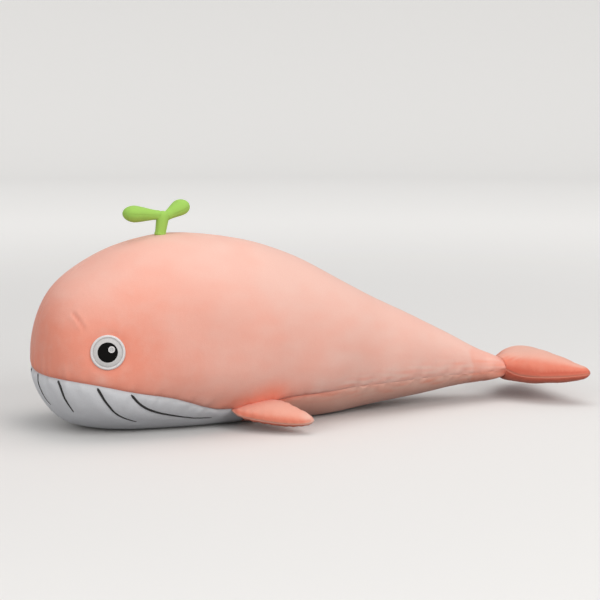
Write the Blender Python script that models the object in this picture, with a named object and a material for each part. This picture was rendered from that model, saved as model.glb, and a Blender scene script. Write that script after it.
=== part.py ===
# Plush whale, lying on its belly: velvet panels sewn round a stuffing, two flippers, a tail
# fluke and a two-leaf sprout that bend at their sewn roots.
# Head towards -X, tail towards +X, +Z up. The origin is on the surface that the whale lies on,
# under the middle of its length. Lengths are in metres and angles in degrees.

import math

import bmesh
import bpy
from mathutils import Matrix, Vector
from mathutils.geometry import delaunay_2d_cdt

# Body
BODY_LENGTH = 0.716        # snout to waist
BODY_HEIGHT = 0.2675       # highest point of the back
BODY_WIDTH = 0.274         # widest, behind the eyes
FABRIC = 0.0025            # velvet pile with its backing
GAP = 0.0003               # clearance between pieces that touch
SETTLE = 0.003             # how softly the underside rounds into its flat
REST_CUT = 0.0005          # depth of the flat that the whale lies on
UPPER_ROUNDNESS = 2.1      # exponent of the section above its widest line, 2 is an ellipse
LOWER_ROUNDNESS = 2.1
UPPER_COLUMNS = 9          # facets from the spine to the side seam
LOWER_COLUMNS = 10         # facets from one side seam to the other under the belly

# Each row is a section: place along the body, top, bottom, half width, height of the widest
# line and height of the side seam, as shares of the length, the height and the half width.
BODY_SECTION_SHARES = (
    (0.000, 0.320, 0.320, 0.000, 0.320, 0.320),
    (0.006, 0.462, 0.240, 0.320, 0.325, 0.318),
    (0.022, 0.635, 0.155, 0.585, 0.335, 0.317),
    (0.056, 0.766, 0.060, 0.790, 0.350, 0.306),
    (0.109, 0.870, 0.002, 0.912, 0.366, 0.281),
    (0.176, 0.950, -0.026, 0.978, 0.378, 0.239),
    (0.258, 1.000, -0.030, 1.000, 0.381, 0.187),
    (0.349, 0.994, -0.030, 0.978, 0.381, 0.112),
    (0.447, 0.946, -0.030, 0.920, 0.366, 0.140),
    (0.545, 0.856, -0.026, 0.825, 0.344, 0.165),
    (0.642, 0.711, 0.002, 0.686, 0.314, 0.178),
    (0.740, 0.577, 0.040, 0.533, 0.273, 0.183),
    (0.838, 0.449, 0.075, 0.387, 0.236, 0.180),
    (0.922, 0.322, 0.098, 0.270, 0.198, 0.176),
    (1.000, 0.250, 0.114, 0.212, 0.178, 0.178),
)
SNOUT_ROW_STEP = 0.4       # rows per section spacing near the snout
BACK_ROW_STEP = 0.5
SNOUT_SECTIONS = 2         # how many sections get the finer rows
CROSS_SEAM_SECTION = 7.5   # where the white panel ends and the pink underside panel starts

# Eye, an appliqué on each side of the head
EYE_ALONG = 0.0775         # from the snout
EYE_HEIGHT = 0.1225
EYE_DIAMETER = 0.0462
EYE_FELT = 0.0012          # thickness of the patch
EYE_RIM_WIDTH = 0.0040
EYE_RIM_HEIGHT = 0.0016
PUPIL_DIAMETER = 0.0270
PUPIL_HEIGHT = 0.0014
GLINT_DIAMETER = 0.0090
GLINT_HEIGHT = 0.0008
GLINT_FORWARD = -0.0052    # from the pupil's middle, towards the snout
GLINT_UP = 0.0038
EYE_SEGMENTS = 24

# Throat stripes, cords of satin stitch from the mouth seam to where the belly meets the ground
STRIPE_WIDTH = 0.0034
STRIPE_HEIGHT = 0.0012
STRIPE_STEPS = 12
# Each stripe on one side: places along the body, as shares of its length, and how far each is
# from the side seam, at 0, to the middle of the belly, at 1, as shares of the panel's girth.
STRIPE_SHARES = {
    "chin": ((0.0014, 0.03), (0.0030, 0.42), (0.0057, 0.61), (0.0147, 0.717), (0.0259, 0.714)),
    "front": ((0.0235, 0.02), (0.032, 0.21), (0.040, 0.334), (0.056, 0.47)),
    "middle": ((0.089, 0.02), (0.103, 0.135), (0.115, 0.21), (0.134, 0.30), (0.172, 0.39)),
    "rear": ((0.151, 0.02), (0.176, 0.137), (0.2155, 0.228), (0.265, 0.247), (0.321, 0.19)),
}

# Waist, where the body and the fluke are sewn together and bend
WAIST_BEVEL = 13.5         # slope of each face of the groove, in degrees from upright
WAIST_FADE = 0.030         # how far ahead of the waist the slope starts

# Tail fluke
FLUKE_REACH = 0.106        # waist to tip
FLUKE_SPAN = 0.203
FLUKE_HEIGHT = 0.049       # across the stuffed lobes
FLUKE_ROUNDING = 0.046     # how far in from the edge the lobes reach their full height
FLUKE_FADE = 0.020         # how far behind the waist the slope ends
FLUKE_NET = 0.017          # spacing of the facets
SEAM_EDGE = 0.0014         # half thickness of a sewn edge
# One lobe's outline from the waist's corner to the notch: shares of the reach and half span.
FLUKE_OUTLINE_SHARES = (
    (0.09, 0.43), (0.23, 0.61), (0.40, 0.78), (0.59, 0.91), (0.77, 0.98), (0.91, 1.00),
    (0.99, 0.94), (1.00, 0.81), (0.97, 0.61), (0.94, 0.39), (0.91, 0.20),
)
FLUKE_NOTCH_SHARE = 0.90   # of the reach

# Flippers
FLIPPER_ROOT_SHARES = (0.356, 0.452)   # ends of the sewn root along the body
FLIPPER_LENGTH = 0.1015    # front end of the root to the tip
FLIPPER_WIDTH = 0.0610
FLIPPER_HEIGHT = 0.024
FLIPPER_ROUNDING = 0.022
FLIPPER_DROOP = 22.0       # slope down from the root, in degrees
FLIPPER_ROOT_RISE = 22.0   # slope of the stuffed faces beside the root, in degrees
FLIPPER_ROOT_CLEAR = 0.0010   # from the body's skin to the line that the flipper bends on
FLIPPER_NET = 0.013
# Outline from the root's front end round the tip: shares of the length and the width.
FLIPPER_OUTLINE_SHARES = (
    (0.06, 0.20), (0.18, 0.39), (0.35, 0.60), (0.54, 0.80), (0.73, 0.94), (0.88, 1.00),
    (0.97, 0.96), (1.00, 0.85), (0.985, 0.68), (0.93, 0.49), (0.86, 0.28), (0.78, 0.10),
)

# Sprout
SPROUT_SHARE = 0.258       # place along the body
STEM_DIAMETER = 0.0165
STEM_LENGTH = 0.0200
STEM_TOP_ROUNDING = 0.0030
STEM_OPENING = 0.0050      # across the open top, where the leaves are sewn in
STEM_LEAN = 9.0            # degrees towards the tail
STEM_BASE_SLOPE = 26.0     # of the gathered base, in degrees, which lets the stem sway
STEM_SIDES = 14
SPROUT_FABRIC = 0.0016
LEAF_SIDES = 10
LEAF_ROOT_RADIUS = 0.0062
# Each leaf: length from its bend, half width, half thickness, then its rise and its heading
# round the stem from the front, in degrees
LEAVES = {
    "front": (0.0515, 0.0160, 0.0118, -5.0, 0.0),
    "rear": (0.0405, 0.0150, 0.0110, 32.0, -155.0),
}
# How a leaf swells between its root and its round end: shares of the length and the growth.
LEAF_GROWTH_SHARES = ((0.00, 0.00), (0.24, 0.22), (0.48, 0.66), (0.72, 1.00))
LEAF_CAP_ANGLES = (30.0, 60.0)         # rows of facets round each end, in degrees

COLOURS = {
    "pink": (0.90, 0.47, 0.37, 1.0),
    "salmon": (0.85, 0.33, 0.24, 1.0),
    "white": (0.75, 0.75, 0.74, 1.0),
    "eye white": (0.80, 0.78, 0.76, 1.0),
    "black": (0.012, 0.011, 0.011, 1.0),
    "green": (0.34, 0.55, 0.11, 1.0),
    "stuffing": (0.86, 0.86, 0.84, 1.0),
}
ROUGHNESS = {"eye white": 0.5, "black": 0.45}
CLOTH_ROUGHNESS = 0.9

OVERALL_LENGTH = BODY_LENGTH + FLUKE_REACH
SNOUT_X = -OVERALL_LENGTH / 2
WAIST_X = SNOUT_X + BODY_LENGTH
LAST_SECTION = len(BODY_SECTION_SHARES) - 1
WAIST_Z = BODY_SECTION_SHARES[-1][4] * BODY_HEIGHT


# Scene, materials and objects

def clear_scene():
    for old in list(bpy.data.objects):
        bpy.data.objects.remove(old, do_unlink=True)


def material(colour):
    found = bpy.data.materials.get(colour)
    if found:
        return found
    made = bpy.data.materials.new(colour)
    made.use_nodes = True
    shader = made.node_tree.nodes["Principled BSDF"]
    shader.inputs["Base Color"].default_value = COLOURS[colour]
    shader.inputs["Roughness"].default_value = ROUGHNESS.get(colour, CLOTH_ROUGHNESS)
    shader.inputs["Metallic"].default_value = 0.0
    made.diffuse_color = COLOURS[colour]
    return made


def add_object(name, shape, colour, parent=None):
    """Turn a finished bmesh into a named, smooth-shaded object."""
    bmesh.ops.recalc_face_normals(shape, faces=shape.faces[:])
    mesh = bpy.data.meshes.new(name)
    shape.to_mesh(mesh)
    shape.free()
    mesh.shade_smooth()
    mesh.set_sharp_from_angle(angle=math.radians(40))
    mesh.materials.append(material(colour))
    made = bpy.data.objects.new(name, mesh)
    bpy.context.collection.objects.link(made)
    made.parent = parent
    return made


def add_pivot(name, location, rotation=(0.0, 0.0, 0.0), parent=None):
    """An empty on a joint's axis. The pieces that bend there are its children."""
    pivot = bpy.data.objects.new(name, None)
    pivot.location = location
    pivot.rotation_euler = rotation
    bpy.context.collection.objects.link(pivot)
    pivot.parent = parent
    return pivot


# Closed shapes from grids of points

def grid_faces(shape, rows, closed=False):
    """Triangles between rows of vertices, with the same diagonals wherever it is used."""
    for near, far in zip(rows, rows[1:]):
        count = len(near)
        for k in range(count if closed else count - 1):
            after = (k + 1) % count
            shape.faces.new((near[k], far[k], far[after]))
            shape.faces.new((near[k], far[after], near[after]))


def fan_faces(shape, tip, row, closed=False):
    count = len(row)
    for k in range(count if closed else count - 1):
        shape.faces.new((tip, row[k], row[(k + 1) % count]))


def wall_faces(shape, outer, inner):
    """Triangles that join two open chains of vertices of the same length."""
    for k in range(len(outer) - 1):
        shape.faces.new((outer[k], outer[k + 1], inner[k + 1]))
        shape.faces.new((outer[k], inner[k + 1], inner[k]))


def sheet_shape(outer, inner, start=None, end=None):
    """A closed panel of cloth from its outer and inner grids of points.

    start and end are pairs of outer and inner points where the grid closes to a tip."""
    shape = bmesh.new()
    layers = []
    for grid, side in ((outer, 0), (inner, 1)):
        rows = [[shape.verts.new(p) for p in row] for row in grid]
        first = shape.verts.new(start[side]) if start else None
        last = shape.verts.new(end[side]) if end else None
        grid_faces(shape, rows)
        if first:
            fan_faces(shape, first, rows[0])
        if last:
            fan_faces(shape, last, rows[-1])
        left = [row[0] for row in rows]
        right = [row[-1] for row in rows]
        rim = [first] * bool(first) + left
        rim += [last] if last else rows[-1][1:-1]
        rim += right[::-1]
        rim += [first] if first else rows[0][-2::-1]
        layers.append(rim)
    wall_faces(shape, layers[0], layers[1])
    return shape


# The body's surface

def spline(rows, t, ahead=None):
    """Catmull-Rom curve through rows of values. ahead stands before the first row, where the
    curve otherwise runs straight on."""
    last = len(rows) - 1
    i = min(int(t), last - 1)
    f = t - i

    def row(k):
        if k < 0:
            return ahead or [2 * a - b for a, b in zip(rows[0], rows[1])]
        if k > last:
            return [2 * a - b for a, b in zip(rows[last], rows[last - 1])]
        return rows[k]

    out = []
    for a, b, c, d in zip(row(i - 1), row(i), row(i + 1), row(i + 2)):
        turn = (c - a) * f + (2 * a - 5 * b + 4 * c - d) * f * f + (3 * b - a - 3 * c + d) * f ** 3
        out.append(b + turn / 2)
    return out


def beyond_snout():
    """The section ahead of the snout's pole: as far along as the first one, and with every
    reach turned the other way, so that the pole closes smoothly."""
    pole, first = BODY_SECTION_SHARES[:2]
    return [first[0]] + [2 * a - b for a, b in zip(pole[1:], first[1:])]


def body_section(t):
    """Place along, top, bottom, half width, widest and seam height of section t, in metres."""
    shares = spline(BODY_SECTION_SHARES, t, beyond_snout())
    along = shares[0] * BODY_LENGTH
    top, bottom, half, widest, seam = shares[1:]
    return (along, top * BODY_HEIGHT, bottom * BODY_HEIGHT, half * BODY_WIDTH / 2,
            widest * BODY_HEIGHT, seam * BODY_HEIGHT)


def power(value, exponent):
    return math.copysign(abs(value) ** exponent, value)


LOWEST = min(row[2] for row in BODY_SECTION_SHARES) * BODY_HEIGHT
# How far the softened underside is lowered, so that its flat is cut as deep as REST_CUT.
SETTLE_DEPTH = (LOWEST + math.sqrt(LOWEST * LOWEST + 4 * SETTLE * SETTLE)) / 2 + REST_CUT


def settled(z):
    """Round a height off softly near the ground, where the stuffing spreads, and cut it flat."""
    soft = (z + math.sqrt(z * z + 4 * SETTLE * SETTLE)) / 2
    return max(soft - SETTLE_DEPTH, 0.0)


def waist_set_back(along, z):
    """How far a point ahead of the waist is drawn forward, so that the tail end is a wedge."""
    near = max(1 - (BODY_LENGTH - along) / WAIST_FADE, 0.0)
    return near * abs(z - WAIST_Z) * math.tan(math.radians(WAIST_BEVEL))


def skin_point(t, angle):
    """A point on the outside of the velvet. The angle starts at the spine and turns over the
    whale's left side, at -Y, to the belly at pi."""
    along, top, bottom, half, widest, _ = body_section(t)
    c, s = math.cos(angle), math.sin(angle)
    if c >= 0:
        exponent, reach = 2 / UPPER_ROUNDNESS, top - widest
    else:
        exponent, reach = 2 / LOWER_ROUNDNESS, widest - bottom
    z = settled(widest + reach * power(c, exponent))
    return Vector((SNOUT_X + along - waist_set_back(along, z), -half * power(s, exponent), z))


STEP = 1e-3                # step of a surface parameter, for slopes


def skin_slopes(t, angle):
    along = skin_point(min(t + STEP, LAST_SECTION), angle) - skin_point(t - STEP, angle)
    round_ = (skin_point(t, angle + STEP) - skin_point(t, angle - STEP)) / (2 * STEP)
    return along / (min(t + STEP, LAST_SECTION) - t + STEP), round_


def skin_normal(t, angle):
    along, round_ = skin_slopes(t, angle)
    normal = round_.cross(along)
    if normal.length == 0:
        return Vector((0, 0, -1))
    normal.normalize()
    middle = skin_point(t, angle)
    outward = Vector((0, middle.y, middle.z - body_section(t)[4]))
    return -normal if normal.dot(outward) < 0 else normal


def seam_angle(t):
    """The angle of the left side seam at section t."""
    _, top, bottom, _, widest, seam = body_section(t)
    below = widest - seam
    if below <= 0 or widest <= bottom:
        return math.pi / 2
    return math.pi / 2 + math.asin(min(below / (widest - bottom), 1.0) ** (LOWER_ROUNDNESS / 2))


RING_COLUMNS = 2 * UPPER_COLUMNS + LOWER_COLUMNS
LEFT_SEAM = UPPER_COLUMNS
RIGHT_SEAM = UPPER_COLUMNS + LOWER_COLUMNS


def ring_angle(t, column):
    seam = seam_angle(t)
    if column <= LEFT_SEAM:
        return seam * column / UPPER_COLUMNS
    if column <= RIGHT_SEAM:
        return seam + 2 * (math.pi - seam) * (column - LEFT_SEAM) / LOWER_COLUMNS
    return 2 * math.pi - seam * (RING_COLUMNS - column) / UPPER_COLUMNS


def inset_point(t, angle, depth, rest):
    """A point that lies depth inside the outer surface, and no lower than rest."""
    point = skin_point(t, angle) - skin_normal(t, angle) * depth
    if t >= LAST_SECTION:
        slope = math.tan(math.radians(WAIST_BEVEL))
        point.x = WAIST_X - abs(point.z - WAIST_Z) * slope
    point.z = max(point.z, rest)
    return point


def row_positions():
    snout = [SNOUT_ROW_STEP * k for k in range(1, round(SNOUT_SECTIONS / SNOUT_ROW_STEP) + 1)]
    count = round((LAST_SECTION - SNOUT_SECTIONS) / BACK_ROW_STEP)
    return snout + [SNOUT_SECTIONS + BACK_ROW_STEP * k for k in range(1, count + 1)]


def body_grid(rows, first, last, depth, edge_gap):
    """Points of one panel or of the stuffing, from column first to column last."""
    grid = []
    for t in rows:
        row = []
        for column in range(first, last + 1):
            angle = ring_angle(t, column)
            if edge_gap and column in (first, last):
                _, round_ = skin_slopes(t, angle)
                inward = 1 if column == first else -1
                angle += inward * edge_gap / max(round_.length, edge_gap)
            row.append(inset_point(t, angle, depth, depth))
        grid.append(row)
    return grid


def pole_tip(depth, aside, up):
    """A panel's tip at the snout, clear of its neighbours' tips."""
    pole = skin_point(0.0, 0.0)
    return Vector((pole.x + depth, aside, pole.z + up))


def body_panel(name, colour, rows, first, last, tip=None):
    outer = body_grid(rows, first, last, 0.0, GAP / 2)
    inner = body_grid(rows, first, last, FABRIC, GAP / 2)
    start = (pole_tip(0.0, *tip), pole_tip(FABRIC, *tip)) if tip else None
    add_object(name, sheet_shape(outer, inner, start=start), colour)


def build_body():
    rows = row_positions()
    ahead = [t for t in rows if t < CROSS_SEAM_SECTION]
    behind = [t for t in rows if t > CROSS_SEAM_SECTION]
    along, _ = skin_slopes(CROSS_SEAM_SECTION, math.pi)
    step = GAP / 2 / along.length
    ahead.append(CROSS_SEAM_SECTION - step)
    behind.insert(0, CROSS_SEAM_SECTION + step)
    half = GAP / 2
    body_panel("upper_panel_left", "pink", rows, 0, LEFT_SEAM, (-half, half))
    body_panel("upper_panel_right", "pink", rows, RIGHT_SEAM, RING_COLUMNS, (half, half))
    body_panel("belly_panel", "white", ahead, LEFT_SEAM, RIGHT_SEAM, (0.0, -half))
    body_panel("underside_panel", "salmon", behind, LEFT_SEAM, RIGHT_SEAM)
    build_body_stuffing(rows)


def build_body_stuffing(rows):
    depth = FABRIC + GAP
    grid = body_grid(rows, 0, RING_COLUMNS - 1, depth, 0.0)
    shape = bmesh.new()
    rings = [[shape.verts.new(p) for p in row] for row in grid]
    grid_faces(shape, rings, closed=True)
    fan_faces(shape, shape.verts.new(pole_tip(depth, 0.0, 0.0)), rings[0], closed=True)
    end = rings[-1]
    shape.faces.new(end[:LEFT_SEAM + 1] + end[RIGHT_SEAM:])
    shape.faces.new(end[LEFT_SEAM:RIGHT_SEAM + 1])
    add_object("body_stuffing", shape, "stuffing")


# Pieces that lie on the velvet

def seat(t, angle, origin, across, up, a, b):
    """The surface parameters of the point that lies a across and b up from the origin, as
    seen square to those two directions. Newton's method from a nearby t and angle."""
    for _ in range(8):
        offset = skin_point(t, angle) - origin
        miss_a, miss_b = a - offset.dot(across), b - offset.dot(up)
        along, round_ = skin_slopes(t, angle)
        m = Matrix(((along.dot(across), round_.dot(across)), (along.dot(up), round_.dot(up))))
        step = m.inverted() @ Vector((miss_a, miss_b))
        t += step.x
        angle += step.y
    return t, angle


def eye_frame():
    """Surface parameters, middle and directions of the left eye."""
    start = (4.0, math.pi / 2)
    ground = Vector((SNOUT_X, 0, 0))
    t, angle = seat(*start, ground, Vector((1, 0, 0)), Vector((0, 0, 1)), EYE_ALONG, EYE_HEIGHT)
    normal = skin_normal(t, angle)
    across = Vector((0, 0, 1)).cross(normal).normalized()
    return t, angle, skin_point(t, angle), across, normal.cross(across)


def disc_on_skin(frame, middle, radii, lift, side):
    """Rings of points on the velvet round a middle, each ring lifted by its own height."""
    t, angle, origin, across, up = frame
    rings = []
    for radius, height in zip(radii, lift):
        ring = []
        for k in range(EYE_SEGMENTS):
            turn = 2 * math.pi * k / EYE_SEGMENTS
            a = middle[0] + radius * math.cos(turn)
            b = middle[1] + radius * math.sin(turn)
            here = seat(t, angle, origin, across, up, a, b)
            point = skin_point(*here) + skin_normal(*here) * height
            ring.append(Vector((point.x, side * point.y, point.z)))
        rings.append(ring)
    return rings


def disc_shape(frame, middle, radius, low, high, crown, side):
    """A round patch: flat underneath, with a rounded edge and a crowned top."""
    edge = min(high - low, radius / 3)
    inner = radius - edge
    radii = (inner / 2, radius, radius, inner, inner / 2)
    lift = (low, low, low + (high - low) / 2, high, high + crown)
    rings = disc_on_skin(frame, middle, radii, lift, side)
    shape = bmesh.new()
    rows = [[shape.verts.new(p) for p in ring] for ring in rings]
    grid_faces(shape, rows, closed=True)
    t, angle, origin, across, up = frame
    here = seat(t, angle, origin, across, up, *middle)
    for row, height in ((rows[0], low), (rows[-1], high + crown)):
        tip = skin_point(*here) + skin_normal(*here) * height
        fan_faces(shape, shape.verts.new((tip.x, side * tip.y, tip.z)), row, closed=True)
    return shape


def rim_shape(frame, outer, inner, low, high, side):
    """The satin-stitched ring round the patch, domed on top."""
    middle = (outer + inner) / 2
    quarter = (outer - inner) / 4
    radii = (inner, outer, middle + quarter, middle - quarter)
    lift = (low, low, high, high)
    rings = disc_on_skin(frame, (0.0, 0.0), radii, lift, side)
    shape = bmesh.new()
    rows = [[shape.verts.new(p) for p in ring] for ring in rings]
    grid_faces(shape, rows + rows[:1], closed=True)
    return shape


def build_eye(word, side):
    frame = eye_frame()
    radius = EYE_DIAMETER / 2
    felt = GAP + EYE_FELT
    rim_inside = radius - EYE_RIM_WIDTH
    patch = disc_shape(frame, (0.0, 0.0), rim_inside - GAP, GAP, felt, 0.0, side)
    add_object(f"eye_patch_{word}", patch, "eye white")
    rim = rim_shape(frame, radius, rim_inside, GAP, felt + EYE_RIM_HEIGHT, side)
    add_object(f"eye_rim_{word}", rim, "eye white")
    low = felt + GAP
    top = low + PUPIL_HEIGHT
    pupil = disc_shape(frame, (0.0, 0.0), PUPIL_DIAMETER / 2, low, top, 0.0, side)
    add_object(f"pupil_{word}", pupil, "black")
    low = top + GAP
    place = (-GLINT_FORWARD, GLINT_UP)
    glint = disc_shape(frame, place, GLINT_DIAMETER / 2, low, low + GLINT_HEIGHT, 0.0, side)
    add_object(f"eye_glint_{word}", glint, "eye white")


def stripe_shape(places, side):
    """A low ridge along surface places, as wide as a row of satin stitch."""
    shape = bmesh.new()
    rows = []
    for k, (t, angle) in enumerate(places):
        before = skin_point(*places[max(k - 1, 0)])
        after = skin_point(*places[min(k + 1, len(places) - 1)])
        normal = skin_normal(t, angle)
        across = (after - before).cross(normal).normalized() * STRIPE_WIDTH / 2
        foot = skin_point(t, angle) + normal * GAP
        top = foot + normal * STRIPE_HEIGHT
        row = []
        for point in (foot - across, foot + across, top + across / 2, top - across / 2):
            row.append(shape.verts.new((point.x, side * point.y, point.z)))
        rows.append(row)
    grid_faces(shape, rows, closed=True)
    shape.faces.new(rows[0])
    shape.faces.new(rows[-1][::-1])
    return shape


def section_at(along_share):
    """The section number at a share of the body's length, by halving."""
    low, high = 0.0, float(LAST_SECTION)
    for _ in range(40):
        middle = (low + high) / 2
        if body_section(middle)[0] < along_share * BODY_LENGTH:
            low = middle
        else:
            high = middle
    return low


def stripe_places(shares):
    places = []
    for k in range(STRIPE_STEPS + 1):
        along, girth = spline(shares, k * (len(shares) - 1) / STRIPE_STEPS)
        t = section_at(along)
        seam = seam_angle(t)
        places.append((t, seam + girth * (math.pi - seam)))
    return places


def build_stripes():
    for word, side in (("left", 1), ("right", -1)):
        for place, shares in STRIPE_SHARES.items():
            shape = stripe_shape(stripe_places(shares), side)
            add_object(f"throat_stripe_{place}_{word}", shape, "black")


# Flat stuffed limbs: two panels sewn round the edge, with stuffing between them

def curve_through(points, steps):
    """A smooth open chain through points, with steps facets between each two."""
    count = (len(points) - 1) * steps
    return [Vector(spline(points, k / steps)) for k in range(count)] + [Vector(points[-1])]


def counterclockwise(outline):
    area = sum(a.x * b.y - a.y * b.x for a, b in zip(outline, outline[1:] + outline[:1]))
    return outline if area > 0 else outline[::-1]


def distance_to(point, chain):
    """Distance from a point to a chain of points."""
    best = math.inf
    for a, b in zip(chain, chain[1:]):
        along = b - a
        f = max(0.0, min(1.0, (point - a).dot(along) / along.length_squared))
        best = min(best, (point - a - along * f).length)
    return best


LIMB_RING_SHARES = (0.12, 0.45)   # of the rounding, where facets follow a limb's edge


def inside(point, outline):
    crossings = 0
    for a, b in zip(outline, outline[1:] + outline[:1]):
        if (a.y > point.y) != (b.y > point.y):
            if point.x < a.x + (point.y - a.y) * (b.x - a.x) / (b.y - a.y):
                crossings += 1
    return crossings % 2 == 1


NET_CLEAR_SHARE = 0.6      # least distance between net points, as a share of their spacing


def limb_net(outline, spacing, rings):
    """A flat triangle net inside an outline: the outline, rings that follow it further in,
    and an even field of points in the middle."""
    loop = outline + outline[:1]
    points = list(outline)
    count = len(outline)
    for depth in rings:
        for k in range(count):
            along = (outline[(k + 1) % count] - outline[k - 1]).normalized()
            place = outline[k] + Vector((-along.y, along.x)) * depth
            near = depth * NET_CLEAR_SHARE
            if inside(place, outline) and distance_to(place, loop) > near:
                if min((place - other).length for other in points) > near:
                    points.append(place)
    low = Vector((min(p.x for p in outline), min(p.y for p in outline)))
    high = Vector((max(p.x for p in outline), max(p.y for p in outline)))
    rows = int((high.y - low.y) / spacing) + 1
    columns = int((high.x - low.x) / spacing) + 1
    for i in range(rows + 1):
        for j in range(columns + 1):
            place = Vector((low.x + (j + i % 2 / 2) * spacing, low.y + i * spacing))
            if inside(place, outline) and distance_to(place, loop) > rings[-1] + spacing * NET_CLEAR_SHARE:
                points.append(place)
    edges = [(k, (k + 1) % count) for k in range(count)]
    net = delaunay_2d_cdt(points, edges, [], 1, 1e-7)
    return net[0], net[2]


def limb_layer(name, colour, net, low, high, parent, keep=None):
    """A closed layer over a flat net, between two functions that place its lower and upper
    points. keep leaves out the triangles that touch a point it refuses."""
    points, faces = net
    faces = [f for f in faces if keep is None or all(keep(points[k]) for k in f)]
    shape = bmesh.new()
    used = sorted({k for f in faces for k in f})
    bottom = {k: shape.verts.new(low(points[k])) for k in used}
    top = {k: shape.verts.new(high(points[k])) for k in used}
    borders = {}
    for f in faces:
        shape.faces.new([top[k] for k in f])
        shape.faces.new([bottom[k] for k in reversed(f)])
        for a, b in zip(f, f[1:] + f[:1]):
            borders[(a, b)] = (b, a) not in borders
            if (b, a) in borders:
                borders[(b, a)] = False
    for (a, b), open_ in borders.items():
        if open_:
            shape.faces.new((bottom[a], bottom[b], top[b]))
            shape.faces.new((bottom[a], top[b], top[a]))
    add_object(name, shape, colour, parent)


def build_limb(words, colour, net, rise, place, parent):
    """Upper panel, lower panel and stuffing of a limb. rise gives half the thickness at a
    point of the net, and place turns a net point and a height into a point of the limb."""
    upper, lower, stuffing = words

    def inner(p):
        return max(rise(p) - FABRIC, GAP / 2)

    def core(p):
        return rise(p) - FABRIC - GAP

    limb_layer(upper, colour, net, lambda p: place(p, inner(p)), lambda p: place(p, rise(p)), parent)
    limb_layer(lower, colour, net, lambda p: place(p, -rise(p)), lambda p: place(p, -inner(p)), parent)
    limb_layer(stuffing, "stuffing", net, lambda p: place(p, -core(p)), lambda p: place(p, core(p)),
               parent, keep=lambda p: core(p) > GAP)


def rounded_rise(distance, rounding, full):
    """Half thickness of a stuffed limb at a distance from its sewn edge."""
    f = 1 - min(distance / rounding, 1.0)
    return SEAM_EDGE + (full - SEAM_EDGE) * math.sqrt(1 - f * f)


# Tail fluke

FLUKE_CURVE_STEPS = 2
WAIST_COLUMNS = 6          # facets across the sewn front of the fluke


def build_fluke():
    half_waist = BODY_SECTION_SHARES[-1][3] * BODY_WIDTH / 2
    front = GAP / 2
    corner = (front, half_waist)
    lobe = [(a * FLUKE_REACH, b * FLUKE_SPAN / 2) for a, b in FLUKE_OUTLINE_SHARES]
    notch = (FLUKE_NOTCH_SHARE * FLUKE_REACH, 0.0)
    right = [corner] + lobe
    left = [(x, -y) for x, y in reversed(right)]
    sewn = curve_through(right + [notch] + left, FLUKE_CURVE_STEPS)
    turns = [math.pi * k / WAIST_COLUMNS for k in range(1, WAIST_COLUMNS)]
    waist = [Vector((front, -half_waist * math.cos(turn))) for turn in turns]
    rings = [FLUKE_ROUNDING * share for share in LIMB_RING_SHARES]
    net = limb_net(counterclockwise(sewn + waist), FLUKE_NET, rings)
    slope = math.tan(math.radians(WAIST_BEVEL))

    def rise(p):
        return rounded_rise(distance_to(p, sewn), FLUKE_ROUNDING, FLUKE_HEIGHT / 2)

    def place(p, z):
        near = max(1 - (p.x - front) / FLUKE_FADE, 0.0)
        return (p.x + near * abs(z) * slope, p.y, z)

    pivot = add_pivot("waist_bend", (WAIST_X + front, 0, WAIST_Z))
    words = ("fluke_upper_panel", "fluke_lower_panel", "fluke_stuffing")
    build_limb(words, "salmon", net, rise, place, pivot)


# Flippers

def flipper_frame(side):
    """Middle of the bending line and the flipper's directions: along its root, outwards and
    up. side is -1 for the whale's left and 1 for its right."""
    ends = [section_at(share) for share in FLIPPER_ROOT_SHARES]
    front, back = (skin_point(t, seam_angle(t)) for t in ends)
    t = sum(ends) / 2
    normal = skin_normal(t, seam_angle(t))
    chord = (back - front).normalized()
    bulge = (skin_point(t, seam_angle(t)) - front).dot(normal)
    middle = (front + back) / 2 + normal * (max(bulge, 0.0) + FLIPPER_ROOT_CLEAR)
    length = (back - front).length
    for v in (middle, chord):
        v.y *= -side
    along = chord * side
    level = Vector((0, 0, 1)).cross(along).normalized()
    outward = Matrix.Rotation(math.radians(-FLIPPER_DROOP), 3, along) @ level
    return middle, length, Matrix((along, outward, along.cross(outward))).transposed()


def build_flipper(word, side):
    middle, root, turn = flipper_frame(side)
    shape = [(0.0, 0.0)] + [(a * FLIPPER_LENGTH, b * FLIPPER_WIDTH) for a, b in FLIPPER_OUTLINE_SHARES]
    shape.append((root, 0.0))
    sewn = [Vector((side * (p.x - root / 2), p.y)) for p in curve_through(shape, 2)]
    steps = round(root / FLIPPER_NET)
    edge = [Vector((side * (root / 2 - root * k / steps), 0.0)) for k in range(1, steps)]
    rings = [FLIPPER_ROUNDING * share for share in LIMB_RING_SHARES]
    net = limb_net(counterclockwise(sewn + edge), FLIPPER_NET, rings)
    root_rise = math.tan(math.radians(FLIPPER_ROOT_RISE))

    def rise(p):
        free = rounded_rise(distance_to(p, sewn), FLIPPER_ROUNDING, FLIPPER_HEIGHT / 2)
        return min(free, SEAM_EDGE + max(p.y, 0.0) * root_rise)

    def place(p, z):
        return (p.x, p.y, z)

    pivot = add_pivot(f"flipper_bend_{word}", middle, turn.to_euler())
    words = [f"flipper_{piece}_{word}" for piece in ("upper_panel", "lower_panel", "stuffing")]
    build_limb(words, "salmon", net, rise, place, pivot)


# Sprout

def tube_rings(profile, sides):
    """Rings round the z axis from pairs of radius and height."""
    turns = [2 * math.pi * k / sides for k in range(sides)]
    return [[Vector((r * math.cos(a), r * math.sin(a), z)) for a in turns] for r, z in profile]


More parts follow.
